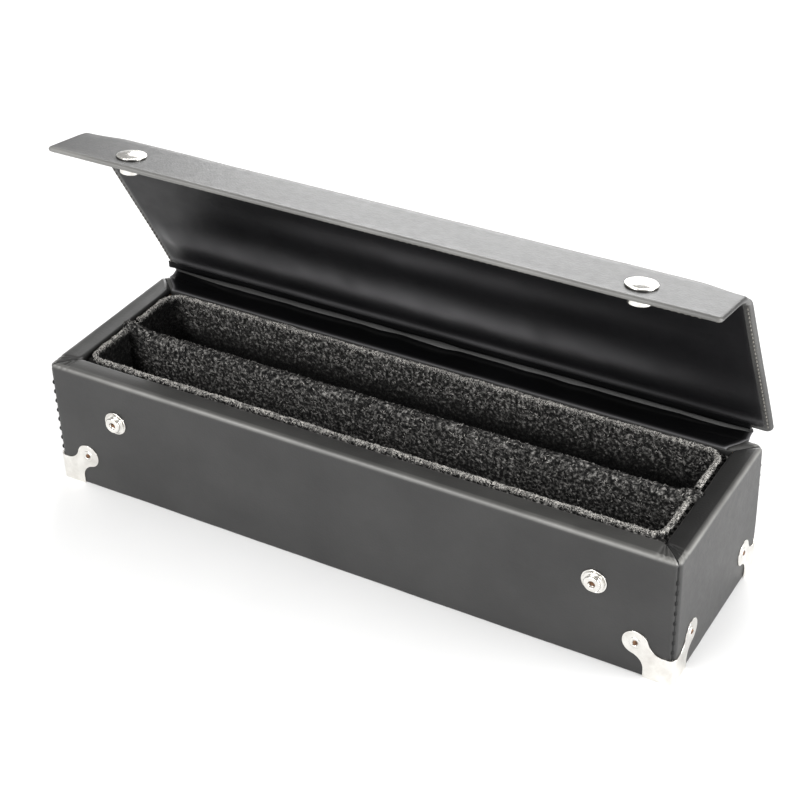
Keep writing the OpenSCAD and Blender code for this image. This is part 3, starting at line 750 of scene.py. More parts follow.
def lidSheet(name, inset, heelR, tipR, depth, rings, pitch, material, toward):
    # a grid of (x, s) inside a round-cornered outline, then rings round its border, each (outward, depth)
    low, high, half = lid["heel"] + inset, lid["tip"] - inset, lid["halfLength"] - inset
    bow = np.radians(np.linspace(0, 90, 9))
    panel = np.linspace(low + heelR, -1.0, int((-low - heelR) / pitch))[1:]
    fold = np.linspace(0, lid["arc"], 15)
    flap = np.linspace(lid["arc"] + 1, high - tipR, max(4, int((high - tipR - lid["arc"]) / pitch)))[:-1]
    s = np.concatenate([low + heelR * (1 - np.cos(bow)), panel, fold, flap, high - tipR * (1 - np.sin(bow))])
    edge = half - 14 * (1 - np.linspace(0, 1, 12) ** 1.5)
    middle = np.linspace(-half + 14, half - 14, int(2 * half / pitch))
    u = np.concatenate([-edge[::-1], middle[1:-1], edge]) / half
    cutLow, leanLow = cornerCut(s - low, heelR)
    cutHigh, leanHigh = cornerCut(high - s, tipR)
    x = u[None, :] * (half - cutLow - cutHigh)[:, None]
    sGrid = s[:, None] + 0 * x
    rows, cols = x.shape
    grid = np.arange(rows * cols).reshape(rows, cols)
    loop = np.concatenate([grid[0], grid[1:, -1], grid[-1, -2::-1], grid[-2:0:-1, 0]])
    lean = (leanHigh - leanLow)[:, None] + 0 * x
    borderS, borderX, outS = sGrid.ravel()[loop], x.ravel()[loop], lean.ravel()[loop]
    outX = np.sign(borderX) * np.sqrt(1 - np.clip(outS, -1, 1) ** 2)
    points = [lidPlace(x, sGrid, depth(x, sGrid)).reshape(-1, 3)]
    faces = [gridFaces(rows, cols)]
    last, count = loop, rows * cols
    for out, deep in rings:
        ringX, ringS = borderX + outX * out, borderS + outS * out
        points.append(lidPlace(ringX, ringS, deep + depth(ringX, ringS)))
        ring = count + np.arange(len(loop))
        faces.append(np.stack([last, np.roll(last, -1), np.roll(ring, -1), ring], axis=-1))
        last, count = ring, count + len(loop)
    piece = makeMesh(name, np.vstack(points), np.vstack(faces), material)
    faceOutwards(piece, (0, *toward))
    return piece


lidLeather = {
    "skin": 0.9,
    "heelR": 2.6,          # corners of the outline, before the rolled edge is added
    "tipR": 0.9,
    "border": 3.6,         # leather turned over on to the inner face
    "wave": 0.22,
    "pitch": 3.2,
    # painted highlights on the flap's rolled edge and the sides, and a paler turned-over border
    "highlightsAndWear": {"roll": 0.95, "border": 0.24, "side": 0.12},
}


def lidLeatherDepth(x, s):
    # slow unevenness, and the sunken ends of the fold
    place = np.stack([x, s], axis=-1)
    wave = lidLeather["wave"] * softNoise(place / 41, 11) + 0.06 * softNoise(place / 12, 12)
    return wave * 0.8 + foldDroop(x, s)


def lidBorderRings(s):
    # half a circle round the edge, then the border on the inner face, its free edge tucked under
    r = lid["thick"] / 2
    a = np.radians(np.linspace(0, 180, 11))[1:]
    edge = [(r * math.sin(t), r * (1 - math.cos(t))) for t in a]
    inner = [(-s["border"] * k, 2 * r) for k in (0.3, 0.55, 0.8)]
    return edge + inner + [(-s["border"] * 0.93, 2 * r - 0.15), (-s["border"], 2 * r - 0.6)]


lidCover = lidSheet("lidLeather", lid["thick"] / 2, lidLeather["heelR"], lidLeather["tipR"], lidLeatherDepth,
                    lidBorderRings(lidLeather), lidLeather["pitch"], leather, lid["out"])
addThickness(lidCover, lidLeather["skin"] * 0.8)


def paintLid(piece, highlightsAndWear):
    # painted highlight on the flap's rolled edge and a thin one along the sides, and paler on the border that
    # is turned over on to the inner face
    points = meshPoints(piece)
    side = np.abs(points[:, 0]) - lid["halfLength"]
    flat = points[:, 1:] - lid["fold"]
    tip = lid["tip"] - (flat @ lid["flapUp"] + lid["arc"])
    onFlap = (flat @ lid["flapUp"] > 0) & (flat @ lid["up"] > -2)
    roll = np.exp(-((tip - 0.5) / 1.5) ** 2) * onFlap
    border = smoothStep(lid["radius"] - np.where(onFlap, flat @ lid["flapOut"], flat @ lid["out"]), 2.0, 3.0)
    cloud = 0.8 + 0.3 * softNoise(points / 28, 8)
    sideLine = np.exp(-((side + 0.8) / 0.7) ** 2)
    value = highlightsAndWear["roll"] * roll + highlightsAndWear["border"] * border + highlightsAndWear["side"] * sideLine
    paintValue(piece, "wearAndSheen", value * cloud)


def onLid(s, n):
    # a point of the lid's sheet at the middle of its length, in millimetres
    return lidPlace(np.array(0.0), np.array(float(s)), np.array(float(n)))


paintLid(lidCover, lidLeather["highlightsAndWear"])
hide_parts("lid_cover", "fold_cover", "flap_cover")
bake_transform(lidCover)
print("lid leather made")


liningShape = {
    "inset": 4.3,
    "proud": 0.10,         # above the turned-over border
    "swell": 1.6,          # soft swell along the panel, over the rear lane
    "swellAt": -73.5,
    "swellWidth": 11.5,
    "ridge": 0.35,         # the roll just above the hinge
    "ridgeAt": -97.5,
    "pitch": 2.4,
    # creases from the hinge's two corners: side, slope, length and height
    "creases": ((1, 0.09, 46, 0.33), (1, 0.30, 30, 0.30), (1, 0.62, 22, 0.24), (-1, 0.05, 75, 0.30),
                (-1, 0.24, 30, 0.21)),
    # painted highlights on the lining: the sheen band, the roll above the hinge and a band under the flap
    "highlightsAndWear": {"roll": 0.8, "upper": 0.36, "upperAt": -34},
}


def liningDepth(x, s):
    # a swell and a roll along the length, small waves, and creases that run out from the hinge's corners
    shape = liningShape
    inside = smoothStep(lid["halfLength"] - np.abs(x), 5, 16) * smoothStep(s - lid["heel"], 4.5, 6.5)
    away = s - shape["swellAt"]
    swell = shape["swell"] * np.exp(-(away / np.where(away > 0, shape["swellWidth"], 7.0)) ** 2)
    wander = 1.2 * softNoise(np.stack([x / 60, x * 0], axis=-1), 21)
    swell = swell * (1 - 0.7 * smoothStep(x, 60, 165))
    ridge = shape["ridge"] * np.exp(-((s - shape["ridgeAt"] - wander) / 2.3) ** 2)
    place = np.stack([x, s * 1.6], axis=-1)
    small = 0.16 * softNoise(place / 23, 22) + 0.06 * softNoise(place / 7, 23)
    crease = np.zeros_like(x + s)
    for side, steep, reach, tall in shape["creases"]:
        along = lid["halfLength"] - 5 - side * x
        line = lid["heel"] + 7 + along * steep + 0.8 * np.sin(along / 9 + 5 * steep)
        fade = smoothStep(along, 0, 8) * (1 - smoothStep(along, reach * 0.5, reach))
        crease += tall * np.exp(-((s - line) / 1.3) ** 2) * fade
    flat = 1 - smoothStep(s, -12, -2)
    level = lid["thick"] + shape["proud"] + foldDroop(x, s)
    return level + inside * ((swell + ridge + crease) * flat + small * 0.8)


def paintLining(piece, shape):
    # painted sheen: strongest on the swell, a painted highlight on the roll above the hinge and a painted
    # reflection under the flap, weaker and uneven away from them, and none on the flap
    points = meshPoints(piece)
    s = (points[:, 1:] - lid["fold"]) @ lid["up"]
    highlightsAndWear = shape["highlightsAndWear"]
    away = s - shape["swellAt"] + 1.5
    band = np.exp(-(away / np.where(away > 0, 11.5, 6.5)) ** 2)
    roll = highlightsAndWear["roll"] * np.exp(-((s - shape["ridgeAt"] - 1.0) / 2.0) ** 2)
    upper = highlightsAndWear["upper"] * np.exp(-((s - highlightsAndWear["upperAt"]) / 7) ** 2 - ((points[:, 0] - 10) / 80) ** 2)
    cloud = 0.75 + 0.25 * softNoise(points / 33, 25) + 0.15 * softNoise(points / 9, 26)
    ends = (1 - 0.93 * smoothStep(points[:, 0], 45, 165)) * (1 - 0.6 * smoothStep(-points[:, 0], 70, 172))
    paintValue(piece, "wearAndSheen", (band * ends + roll * (0.5 + 0.5 * ends) + upper) * cloud * (s < -2))


liningRings = [(0.35, -0.12), (0.55, -0.35), (0.6, -0.7), (0.55, -1.1)]
lidLining = lidSheet("lidLining", liningShape["inset"], 2.5, 2.0, liningDepth, liningRings,
                     liningShape["pitch"], lining, -lid["out"])
paintLining(lidLining, liningShape)
addThickness(lidLining, 0.6)
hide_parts("lid_lining", "fold_lining", "flap_lining")
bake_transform(lidLining)
print("lid lining made")


def copiedNode(name, node, material):
    # a CAD node's mesh as a new piece with its own finish
    mesh = frame["nodes"][node].data.copy()
    mesh.materials.clear()
    mesh.materials.append(material)
    piece = bpy.data.objects.new(name, mesh)
    bpy.context.scene.collection.objects.link(piece)
    return piece


def lidBoard():
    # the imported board, drawn in at its left end like the leather over it
    piece = copiedNode("lidBoard", "lid_board", card)
    points = nodePoints("lid_board")
    points[:, 0] = drawnIn(points[:, 0], (points[:, 1:] - lid["fold"]) @ lid["up"])
    piece.data.vertices.foreach_set("co", (points * mm).ravel())
    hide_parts("lid_board")
    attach(piece, "lid")


lidBoard()


# Profiles of the two hinge leathers, as (y, z): the outer one up the back and on to the lid,
# the inner one from the rear carpet over the rim and into the crease
rimZ, backY = case["height"], case["halfDepth"]
heelOut, upLid, upLidEnd = (onLid(lid["heel"] + s, n)[1:]
                            for s, n in ((1.0, -0.5), (12.0, -0.6), (12.6, 0.1)))
heelIn, upLining, upLiningEnd = (onLid(lid["heel"] + s, lid["thick"] + n)[1:]
                                 for s, n in ((1.5, 0.7), (3.4, 0.6), (5.4, -0.2)))
hingeLeather = {
    "outer": [(backY + 0.1, rimZ - 24.4), (backY + 0.75, rimZ - 23.6), (backY + 0.75, rimZ - 9),
              (backY + 1.6, rimZ - 4), (backY + 5.2, rimZ + 0.2), heelOut - np.array([-0.6, 1.4]), heelOut,
              upLid, upLidEnd],
    "inner": [(case["roomY"] - 0.9, rimZ + 0.1), (case["roomY"] - 0.5, rimZ + 0.75),
              (case["roomY"] + 5.5, rimZ + 0.95), (backY - 0.8, rimZ + 0.65), (backY + 3.2, rimZ + 0.1),
              (backY + 6.0, rimZ + 1.3), heelIn, upLining, upLiningEnd],
    "half": 168.5,
    "aside": -2.0,         # both leathers end nearer the left
}


def hingeSheet(name, profile, thickness, lift, material, toward, node, pitch=2.6, steps=44,
               cornerIn=0.0, flareOut=3.2, hemHighlight=0.0):
    # the profile carried along the case; lift moves each point off it, and the ends are rolled into a hem
    line = smoothPath(profile, steps)
    tangent = lineDirections(line)
    side = np.stack([-tangent[:, 1], tangent[:, 0]], axis=-1)
    half = hingeLeather["half"]
    x = np.linspace(-half, half, int(2 * half / pitch))
    v = np.linspace(0, 1, steps)[:, None]
    flare = 1 + (flareOut * smoothStep(v, 0.3, 0.9) - cornerIn * (1 - smoothStep(v, 0.0, 0.42))) / half
    hem = 0.35 * smoothStep(np.abs(x), half - 2.2, half - 0.8)
    up = lift(x[None, :], v) + hem[None, :]
    yz = line[:, None] + up[..., None] * side[:, None]
    xGrid = x[None, :] * flare + hingeLeather["aside"] * smoothStep(v, 0.1, 0.5)
    points = np.stack([xGrid, yz[..., 0], yz[..., 1]], axis=-1)
    piece = makeMesh(name, points.reshape(-1, 3), gridFaces(steps, len(x)), material)
    # painted highlight along the gusset's hems
    sideHem = np.exp(-((half - np.abs(x)[None, :] - 0.4) / 0.9) ** 2) * (v < 0.75)
    paintValue(piece, "wearAndSheen", ((np.exp(-(v / 0.045) ** 2) + sideHem) * hemHighlight).ravel())
    faceOutwards(piece, toward)
    addThickness(piece, thickness)
    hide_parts(node)
    return piece


def outerLift(x, v):
    # gentle buckles across the bend
    place = np.stack([x + 0 * v, 30 * v + 0 * x], axis=-1)
    return 0.22 * softNoise(place / 15, 31) * np.sin(np.pi * v)


def innerLift(x, v):
    # the inner leather sags between rim and lid; creases gather towards its two ends
    end = smoothStep(np.abs(x), 118, 168)
    place = np.stack([x + 0 * v, 26 * v + 0 * x], axis=-1)
    creases = 0.55 * np.cos(v * 21 + (168 - np.abs(x)) / 9 + 0 * x) * end * smoothStep(v, 0.22, 0.4)
    soft = 0.3 * softNoise(place / 12, 32) * smoothStep(v, 0.3, 0.5)
    return (creases + soft) * (1 - smoothStep(v, 0.8, 0.97))


spine = hingeSheet("hingeSpine", hingeLeather["outer"], 0.6, outerLift, leather, (0, 1, 0.2), "hinge_strip",
                   flareOut=-0.6)
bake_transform(spine)
gusset = hingeSheet("hingeGusset", hingeLeather["inner"], 0.35, innerLift, shadedLining, (0, -1, 1.5),
                    "hinge_gusset", pitch=1.8, steps=56, cornerIn=8.0, flareOut=0.6, hemHighlight=0.8)
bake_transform(gusset)
print("hinge leathers made")


# Felt: strips that follow the lanes, with soft rounded top edges
feltShape = {
    "cornerR": 6.0,        # the strip's bend in plan
    "step": 1.15,
    "rough": 0.26,         # height of the pile's unevenness
    "topRise": 0.10,       # top edge above the rim
    "edgeWave": 0.25,
    "edge": 2.25,          # width of the cut edge that shows on top
    # painted shade of the felt: the darkest share, and the heights where it fades in
    "shade": (0.04, 44.0, 63.0),
    "dividerShade": (0.14, 34.0, 60.0),
    "floorShade": (0.05, 90.0, 100.0),
}


def feltProfile(low, top, width):
    # (outward distance, height): up the face, round the narrow top edge, down behind it and out to the wall
    r = 1.05
    face = np.stack([np.zeros(44), np.linspace(low, top - r - 1.0, 44)], axis=-1)
    front = arcPoints((r, top - r), r, 180, 90, 6)
    back = arcPoints((feltShape["edge"] - r, top - r), r, 90, 0, 6)
    return np.vstack([face, front, back, [[feltShape["edge"] + 0.05, top - 3.2], [width, top - 3.6]]])


def planPath(points, radius, step):
    # a path in plan with round corners: lines joined by quarter circles, sampled evenly
    points = [np.asarray(p, float) for p in points]
    line = [points[0]]
    for before, corner, after in zip(points, points[1:], points[2:]):
        into = (before - corner) / np.linalg.norm(before - corner)
        out = (after - corner) / np.linalg.norm(after - corner)
        centre = corner + (into + out) * radius
        t = np.radians(np.linspace(0, 90, 12))[:, None]
        line.extend(centre - out * radius * np.cos(t) - into * radius * np.sin(t))
    line.append(points[-1])
    return evenSteps(np.array(line), step=step)


def gridNormals(points):
    # cross product of a grid's two directions
    n = np.cross(np.gradient(points, axis=1), np.gradient(points, axis=0))
    return n / np.maximum(np.linalg.norm(n, axis=-1, keepdims=True), 1e-9)


def feltRough(points, normals, amount, seed):
    # unevenness in three sizes, pushed along the normal
    sizes = ((5.1, 0.5), (2.0, 0.6), (1.15, 0.5))
    bump = sum(share * softNoise(points / size, seed + k) for k, (size, share) in enumerate(sizes))
    return points + normals * (amount * bump)[..., None]


def feltStrip(name, plan, nodes, width, seed):
    # the profile carried round the plan path, its depth measured outward from the lane
    s = feltShape
    line = planPath(plan, s["cornerR"], s["step"])
    tangent = lineDirections(line)
    outward = np.stack([tangent[:, 1], -tangent[:, 0]], axis=-1)
    profile = feltProfile(case["laneFloor"] - 0.6, case["height"] + s["topRise"], width)
    along = np.stack([np.arange(len(line)) / 6, np.zeros(len(line))], axis=-1)
    wave = s["edgeWave"] * softNoise(along, seed + 7)
    corner = (s["cornerR"] + width) / np.abs(outward).max(axis=1) - s["cornerR"]     # to the square corner
    reach = profile[:, 0][:, None] + 0 * corner
    edge = s["edge"]
    reach = np.where(reach > edge, edge + (reach - edge) * (corner - edge) / (width - edge), reach)
    height = profile[:, 1][:, None]
    height = height + wave * smoothStep(height, case["height"] - 6, case["height"])
    xy = line[None] + reach[..., None] * outward[None]
    grid = np.concatenate([xy, height[..., None]], axis=-1)
    normals = gridNormals(grid)
    into = -np.concatenate([outward, np.zeros((len(line), 1))], axis=-1)
    if (normals[20] * into).sum() < 0:
        normals = -normals
    return feltPiece(name, grid, normals, seed, s["shade"], nodes)


def feltShade(points, darkest, low, high):
    # painted shade: the share of the felt's colour that is kept, darkest below low, all of it above high, and
    # little on the left end under its cut edge
    value = darkest + (1 - darkest) * smoothStep(points[:, 2], low, high)
    end = 1 - smoothStep(points[:, 0], -laneX + 0.5, -laneX + 12)
    under = 1 - smoothStep(points[:, 2], case["height"] - 3.5, case["height"] - 1.2)
    return value * (1 - 0.9 * end * under)


def feltPiece(name, grid, normals, seed, shade, nodes):
    # the roughened grid as a mesh, its faces turned the way the grid's own normals look
    grid = feltRough(grid, normals, feltShape["rough"], seed)
    piece = makeMesh(name, grid.reshape(-1, 3), gridFaces(*grid.shape[:2]), carpet)
    faceOutwards(piece)
    row, col = grid.shape[0] // 3, grid.shape[1] // 2
    face = piece.data.polygons[row * (grid.shape[1] - 1) + col]
    if face.normal.dot(Vector(normals[row, col])) < 0:
        piece.data.flip_normals()
    paintValue(piece, "shade", feltShade(meshPoints(piece), *shade))
    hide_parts(*nodes)
    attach(piece, "case")
    return grid, normals


laneX, laneY = case["roomX"] - case["carpet"], case["roomY"] - case["carpet"]
dividerHalf = nodeBox("divider_liner")[1][1]
dividerTop = nodeBox("divider_liner")[1][2]
frontPlan = [(-laneX, -dividerHalf - 0.1), (-laneX, -laneY), (laneX, -laneY), (laneX, -dividerHalf - 0.1)]
backPlan = [(laneX, dividerHalf + 0.1), (laneX, laneY), (-laneX, laneY), (-laneX, dividerHalf + 0.1)]
stripWidth = case["carpet"] - 0.15
frontFelt = feltStrip("frontCarpet", frontPlan, ["front_liner"], stripWidth, 40)
backFelt = feltStrip("backCarpet", backPlan, ["back_liner", "left_end_liner", "right_end_liner"],
                     stripWidth, 50)


def dividerFelt(seed):
    # one piece of felt folded over the divider: up the front, round the top and down the back
    r, top = dividerHalf, dividerTop
    low = case["laneFloor"] - 0.6
    up = np.stack([np.full(46, -r), np.linspace(low, top - r - 1.0, 46)], axis=-1)
    over = arcPoints((0, top - r), r, 180, 0, 15)
    profile = np.vstack([up, over, np.stack([np.full(46, r), np.linspace(top - r - 1.0, low, 46)], axis=-1)])
    x = np.linspace(-case["roomX"] - 1.6, case["roomX"] + 1.6, int(2 * case["roomX"] / 1.25))
    rise = 2.7 * smoothStep(np.abs(x), case["roomX"] - 13, case["roomX"] - 3)
    wave = 0.35 * softNoise(np.stack([x / 14, x * 0], axis=-1), seed + 5)
    z = profile[:, 1][:, None] + (rise + wave)[None] * smoothStep(profile[:, 1][:, None], top - 25, top)
    pinch = 1 - 0.55 * smoothStep(np.abs(x), case["roomX"] - 0.5, case["roomX"] + 1.6)
    y = profile[:, 0][:, None] * pinch[None]
    grid = np.stack([x[None] + 0 * z, y + 0 * z, z], axis=-1)
    normals = gridNormals(grid)
    if normals[20, 20, 1] > 0:
        normals = -normals
    return feltPiece("dividerCarpet", grid, normals, seed, feltShape["dividerShade"], ["divider_liner"])


divider = dividerFelt(60)


def laneFelt(name, node, seed):
    # a flat felt floor with the pile's unevenness
    low, high = nodeBox(node)
    x = np.linspace(low[0] - 0.3, high[0] + 0.3, int((high[0] - low[0]) / 1.6))
    y = np.linspace(low[1] - 0.3, high[1] + 0.3, int((high[1] - low[1]) / 1.6))
    grid = np.stack([*np.meshgrid(x, y), np.full((len(y), len(x)), high[2])], axis=-1)
    normals = np.zeros_like(grid)
    normals[..., 2] = 1
    grid = feltRough(grid, normals, feltShape["rough"], seed)
    piece = makeMesh(name, grid.reshape(-1, 3), gridFaces(*grid.shape[:2]), carpet)
    faceOutwards(piece, (0, 0, 1))
    paintValue(piece, "shade", feltShade(meshPoints(piece), *feltShape["floorShade"]))
    addThickness(piece, 2.0)
    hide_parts(node)
    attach(piece, "case")
    return grid, normals


frontFloor = laneFelt("frontLaneCarpet", "front_floor_liner", 70)
backFloor = laneFelt("backLaneCarpet", "back_floor_liner", 75)
print("carpets made")


wallFibre = {"length": (1.0, 2.2), "width": 0.17, "lift": 0.5, "tones": (1.3, 2.2)}
# the cut edge's fibres lean to the light tones: painted highlight
edgeFibre = {"length": (0.7, 1.6), "width": 0.153, "lift": 0.12, "tones": (2.4, 1.4)}


def fibrePiece(name, patches, shape, material, seed, shade):
    # each fibre is a bent, tapering three-sided tube: root, raised middle and tip on a quadratic curve;
    # a patch is a felt's grid, the share of its rows that is covered, and how many fibres stand on it
    draw = np.random.default_rng(seed)
    width, lift = shape["width"], shape["lift"]
    roots, ups = [], []
    for (grid, normals), rows, count in patches:
        r = draw.uniform(rows[0] * (len(grid) - 1), rows[1] * (len(grid) - 1) - 0.01, count)
        c = draw.uniform(0, grid.shape[1] - 1.01, count)
        i, j = r.astype(int), c.astype(int)
        f, g = (r - i)[:, None], (c - j)[:, None]
        near, far = (grid[i, k] * (1 - f) + grid[i + 1, k] * f for k in (j, j + 1))
        roots.append(near * (1 - g) + far * g)
        ups.append(normals[i, j])
    root, up = np.vstack(roots), np.vstack(ups)
    count = len(root)
    heading = draw.normal(size=(count, 3))
    heading -= (heading * up).sum(1, keepdims=True) * up
    heading /= np.linalg.norm(heading, axis=1, keepdims=True)
    curl = np.cross(up, heading) * draw.uniform(-0.7, 0.7, (count, 1))
    length = draw.uniform(*shape["length"], (count, 1))
    rise = draw.uniform(0.25, 1.0, (count, 1)) * lift
    middle = root + heading * length * 0.5 + up * rise * 1.6
    tip = root + (heading + curl) * length * 0.85 + up * rise * draw.uniform(-0.2, 1.2, (count, 1))
    t = np.array([0, 0.5, 1.0])[None, :, None]
    line = (root - up * 0.2)[:, None] * (1 - t) ** 2 + tip[:, None] * t ** 2
    line += 2 * middle[:, None] * t * (1 - t)
    radius = width * draw.uniform(0.6, 1.3, (count, 1)) * np.array([[1.0, 0.9, 0.35]])
    points = line[:, :, None] + radius[:, :, None, None] * ringAround(np.cross(heading, up), up, 3)[:, None]
    faces = (gridFaces(3, 3, wrapCols=True)[None] + (np.arange(count) * 9)[:, None, None]).reshape(-1, 4)
    piece = makeMesh(name, points.reshape(-1, 3), faces, material)
    tone = draw.beta(*shape["tones"], count)
    clump = 0.5 + 0.5 * softNoise(root / 1.3, seed)
    # each fibre's tone is dimmed by the felt's painted shade
    paintValue(piece, "tone", np.repeat(tone * (0.35 + 1.3 * clump) * feltShade(root, *shade), 9))
    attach(piece, "case")


for name, patches, shape, material, seed, shade in (
        ("rearWallFibres", [(backFelt, (0.05, 0.8), 15000)], wallFibre, fibres, 101, "shade"),
        ("dividerFibres", [(divider, (0.02, 0.62), 13500), (divider, (0.62, 0.98), 2500)], wallFibre, fibres,
         102, "dividerShade"),
        ("frontWallFibres", [(frontFelt, (0.05, 0.8), 8000), (frontFloor, (0, 1), 2000),
                             (backFloor, (0, 1), 2000)], wallFibre, fibres, 103, "shade"),
        ("edgeFibres", [(backFelt, (0.77, 0.955), 7800), (frontFelt, (0.77, 0.955), 7800)],
         edgeFibre, cutFibresHighlight, 104, "shade")):
    fibrePiece(name, patches, shape, material, seed, feltShape[shade])
print("fibres laid")


stitching = {
    "length": 3.3,         # of the box's corner stitches
    "seamRadius": 0.72,
    "seamPitch": 5.8,
    "seamLow": 18.5,
    "seamHigh": 64.0,
    "sunk": 0.80,          # below the corner's round
    "lidLength": 2.0,
    "radius": 0.34,
    "lidPitch": 3.1,
    "fromEdge": 1.9,
}


def seamStitches(s):
    # a column of upright stitches on the round of each of the box's four corners
    z = np.arange(s["seamLow"], s["seamHigh"], s["seamPitch"])
    r = wallLeather["cornerR"]
    inX, inY = case["halfLength"] - r, case["halfDepth"] - r
    rows, ups = [], []
    for sx, sy in corners:
        out = np.array([sx, sy, 0]) / math.sqrt(2)
        at = np.array([sx * inX, sy * inY, 0]) + out * (r - s["sunk"])
        rows.append(np.stack([at + [0, 0, h] for h in z]))
        ups.append(np.tile(out, (len(z), 1)))
    centres, ups = np.vstack(rows), np.vstack(ups)
    along = np.tile([0.0, 0, 1], (len(centres), 1))
    piece = stitchRow("cornerStitches", centres, along, ups, s["length"], s["seamRadius"], thread)
    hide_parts("corner_seam_thread")
    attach(piece, "case")


def lidStitches(name, lines, node, body, s):
    # stitches on the turned-over border of the inner face; lines are (x, s) runs
    depth = lid["thick"] - 0.10
    centres, along, ups = [], [], []
    for (x0, s0), (x1, s1) in lines:
        length = math.hypot(x1 - x0, s1 - s0)
        t = (np.arange(int(length / s["lidPitch"])) + 0.5) * s["lidPitch"] / length
        x, run = x0 + (x1 - x0) * t, s0 + (s1 - s0) * t
        here, inner = lidPlace(x, run, depth + 0 * x), lidPlace(x, run, depth + 1 + 0 * x)
        ahead = lidPlace(x + (x1 - x0) * 0.001, run + (s1 - s0) * 0.001, depth + 0 * x)
        way = ahead - here
        centres.append(here)
        along.append(way / np.linalg.norm(way, axis=1, keepdims=True))
        ups.append(inner - here)
    centres, along, ups = np.vstack(centres), np.vstack(along), np.vstack(ups)
    piece = stitchRow(name, centres, along, ups, s["lidLength"], s["radius"], greyThread)
    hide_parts(node)
    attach(piece, body)


seamStitches(stitching)
sideX = lid["halfLength"] - stitching["fromEdge"]
lowS, highS = lid["heel"] + 4.5, lid["tip"] - stitching["fromEdge"]
lidRuns = [((x, lowS), (x, 0)) for x in (-sideX, sideX)]
flapRuns = [((x, lid["arc"]), (x, highS - 3)) for x in (-sideX, sideX)]
flapRuns += [((-sideX + 4, highS), (sideX - 4, highS))]
lidStitches("lidStitches", lidRuns, "lid_thread", "lid", stitching)
lidStitches("flapStitches", flapRuns, "flap_thread", "flap", stitching)
print("stitches made")


# Snap fasteners and corner plates; profiles are (radius, height off the face)
studProfile = [(0, 0.02), (6.25, 0.02), *arcPoints((6.05, 0.46), 0.40, -60, 120, 8), (5.5, 0.62), (5.1, 0.36),
               (4.5, 0.40), (3.8, 0.75), (3.5, 1.3), (3.7, 1.75), (4.1, 2.1),
               *arcPoints((3.6, 2.7), 0.70, -25, 90, 8), (2.7, 3.35),
               *arcPoints((2.1, 3.05), 0.28, 80, 180, 4), (1.75, 2.2), (0, 2.1)]
rivetProfile = [(0, -0.2), (1.7, -0.2), (1.7, 1.9), (1.5, 2.35), (1.2, 2.5), (0.7, 2.42), (0.35, 2.2),
                (0, 2.15)]
capProfile = [(0, 0.02), (7.2, 0.02), *arcPoints((7.05, 0.5), 0.46, -80, 100, 9), (6.6, 0.98), (6.0, 1.18),
              (4.8, 1.55), (3.4, 1.86), (1.8, 2.08), (0.7, 2.16), (0, 2.18)]
socketFar = ((nodePoints("socket_left")[:, 1:] - lid["fold"]) @ lid["flapOut"]).min()
socketBaseN = lid["radius"] - lid["thick"] * (1 - lidForm["thin"])
tall = float(socketBaseN - socketFar)      # from the lining out to the socket's mouth
socketProfile = [(0, -0.6), (6.2, -0.6), (6.35, 0.05), *arcPoints((6.1, 0.4), 0.3, -40, 90, 6), (5.75, 0.95),
                 (5.7, tall - 1.1), *arcPoints((5.15, tall - 0.55), 0.55, 0, 100, 8),
                 *arcPoints((4.95, tall - 0.35), 0.3, 110, 180, 4), (4.62, tall - 1.2), (4.6, 0.4),
                 (3.0, 0.35), (0, 0.35)]
studAt = {side: (nodeBox("stud_" + side)[0] + nodeBox("stud_" + side)[1]) / 2 for side in ("left", "right")}
capS = float(((nodePoints("cap_left")[:, 1:].mean(0) - lid["fold"]) @ lid["flapUp"])) + lid["arc"]
for side, at in studAt.items():
    face = np.array([at[0], -case["halfDepth"] - wallLeather["bulge"] * 0.8, at[2]])
    capBase = lidPlace(at[0], np.array(capS), np.array(-0.05))
    socketBase = lidPlace(at[0], np.array(capS), np.array(lid["thick"]))
    forward, outward, inward = (0, -1, 0), (0, *lid["flapOut"]), (0, *-lid["flapOut"])
    for name, node, profile, base, way, finish, slot, body, steps in (
            ("Stud", "stud_", studProfile, face, forward, nickel, "nickel", "case", 72),
            ("Rivet", "stud_rivet_", rivetProfile, face, forward, bronze, "bronze", "case", 40),
            ("Cap", "cap_", capProfile, capBase, outward, nickel, "nickel", "flap", 72),
            ("Socket", "socket_", socketProfile, socketBase, inward, nickel, "nickel", "flap", 72)):
        piece = turnedPiece(side + name, profile, base, way, (1, 0, 0), finish, steps)
        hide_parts(node + side)
        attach(piece, body)
print("snap fasteners made")


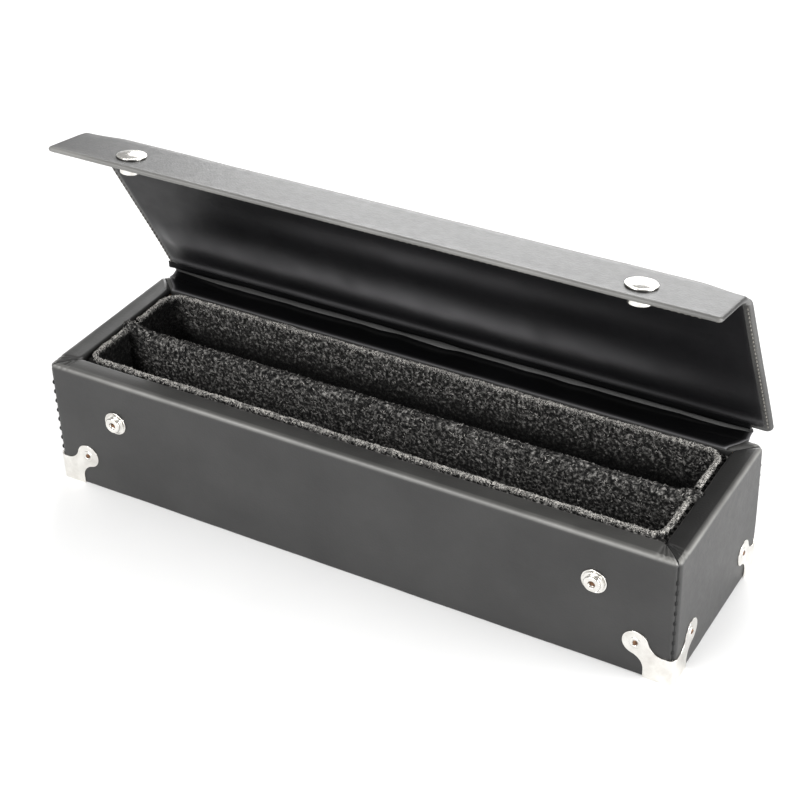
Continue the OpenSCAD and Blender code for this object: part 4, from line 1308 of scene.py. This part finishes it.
def cornerPlate(name, node):
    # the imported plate, its triangles merged into whole faces, with its edges eased
    piece = copiedNode(name, node, nickel)
    work = bmesh.new()
    work.from_mesh(piece.data)
    bmesh.ops.remove_doubles(work, verts=work.verts, dist=1e-6)
    bmesh.ops.dissolve_limit(work, angle_limit=math.radians(0.8), verts=work.verts, edges=work.edges)
    for face in work.faces:
        face.smooth = True
    work.to_mesh(piece.data)
    work.free()
    bevel = piece.modifiers.new("easedEdges", "BEVEL")
    bevel.width = 0.28 * mm
    bevel.segments = 2
    bevel.limit_method = "ANGLE"
    bevel.angle_limit = math.radians(40)
    piece.modifiers.new("evenShading", "WEIGHTED_NORMAL")
    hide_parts(node)
    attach(piece, "case")


for place in ("frontLeft", "frontRight", "backLeft", "backRight"):
    node = "corner_plate_" + place.replace("Left", "_left").replace("Right", "_right")
    cornerPlate(place + "Plate", node)
print("corner plates made")


def nailRings(inward):
    # a raised ring round each nail on the upright faces: a small profile turned about the nail's axis
    low = nodeBox("corner_plate_front_left")[0]
    profile = np.array([(1.45, -0.1), (1.55, 0.16), (1.95, 0.30), (2.5, 0.26), (3.0, 0.10), (3.2, -0.1)])
    nailX, nailY, sides = case["halfLength"] - inward, case["halfDepth"] - inward, 28
    points, faces, count = [], [], 0
    for sx, sy in corners:
        for out, side, at in (((0, sy, 0), (1, 0, 0), (sx * nailX, sy * -low[1], inward)),
                              ((sx, 0, 0), (0, 1, 0), (sx * -low[0], sy * nailY, inward))):
            out = np.array(out, float)
            ring = ringAround(side, np.cross(out, side), sides)
            grid = np.array(at) + profile[:, :1, None] * ring[None] + profile[:, 1:, None] * out
            points.append(grid.reshape(-1, 3))
            faces.append(gridFaces(len(profile), sides, wrapCols=True) + count)
            count += len(profile) * sides
    piece = makeMesh("nailRings", np.vstack(points), np.vstack(faces), nickel)
    faceOutwards(piece)
    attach(piece, "case")


nailIn = float(case["halfLength"] - np.abs(nodePoints("corner_nails")[:, 0]).min() - 1.3)
nailRings(nailIn)
print("nail rings made, in from the corner", round(nailIn, 2))

# Finishes for the CAD nodes that stay
stays = {"front_board": wood, "back_board": wood, "left_end_board": wood, "right_end_board": wood,
         "bottom_board": wood, "divider_board": wood, "flap_board": card, "bottom_cover": leather,
         "corner_nails": bronze}
for name, finish in stays.items():
    node = frame["nodes"][name]
    if not node.material_slots:
        node.data.materials.append(finish)
    node.material_slots[0].link = "OBJECT"
    node.material_slots[0].material = finish
print("finishes given to", len(stays), "CAD nodes")
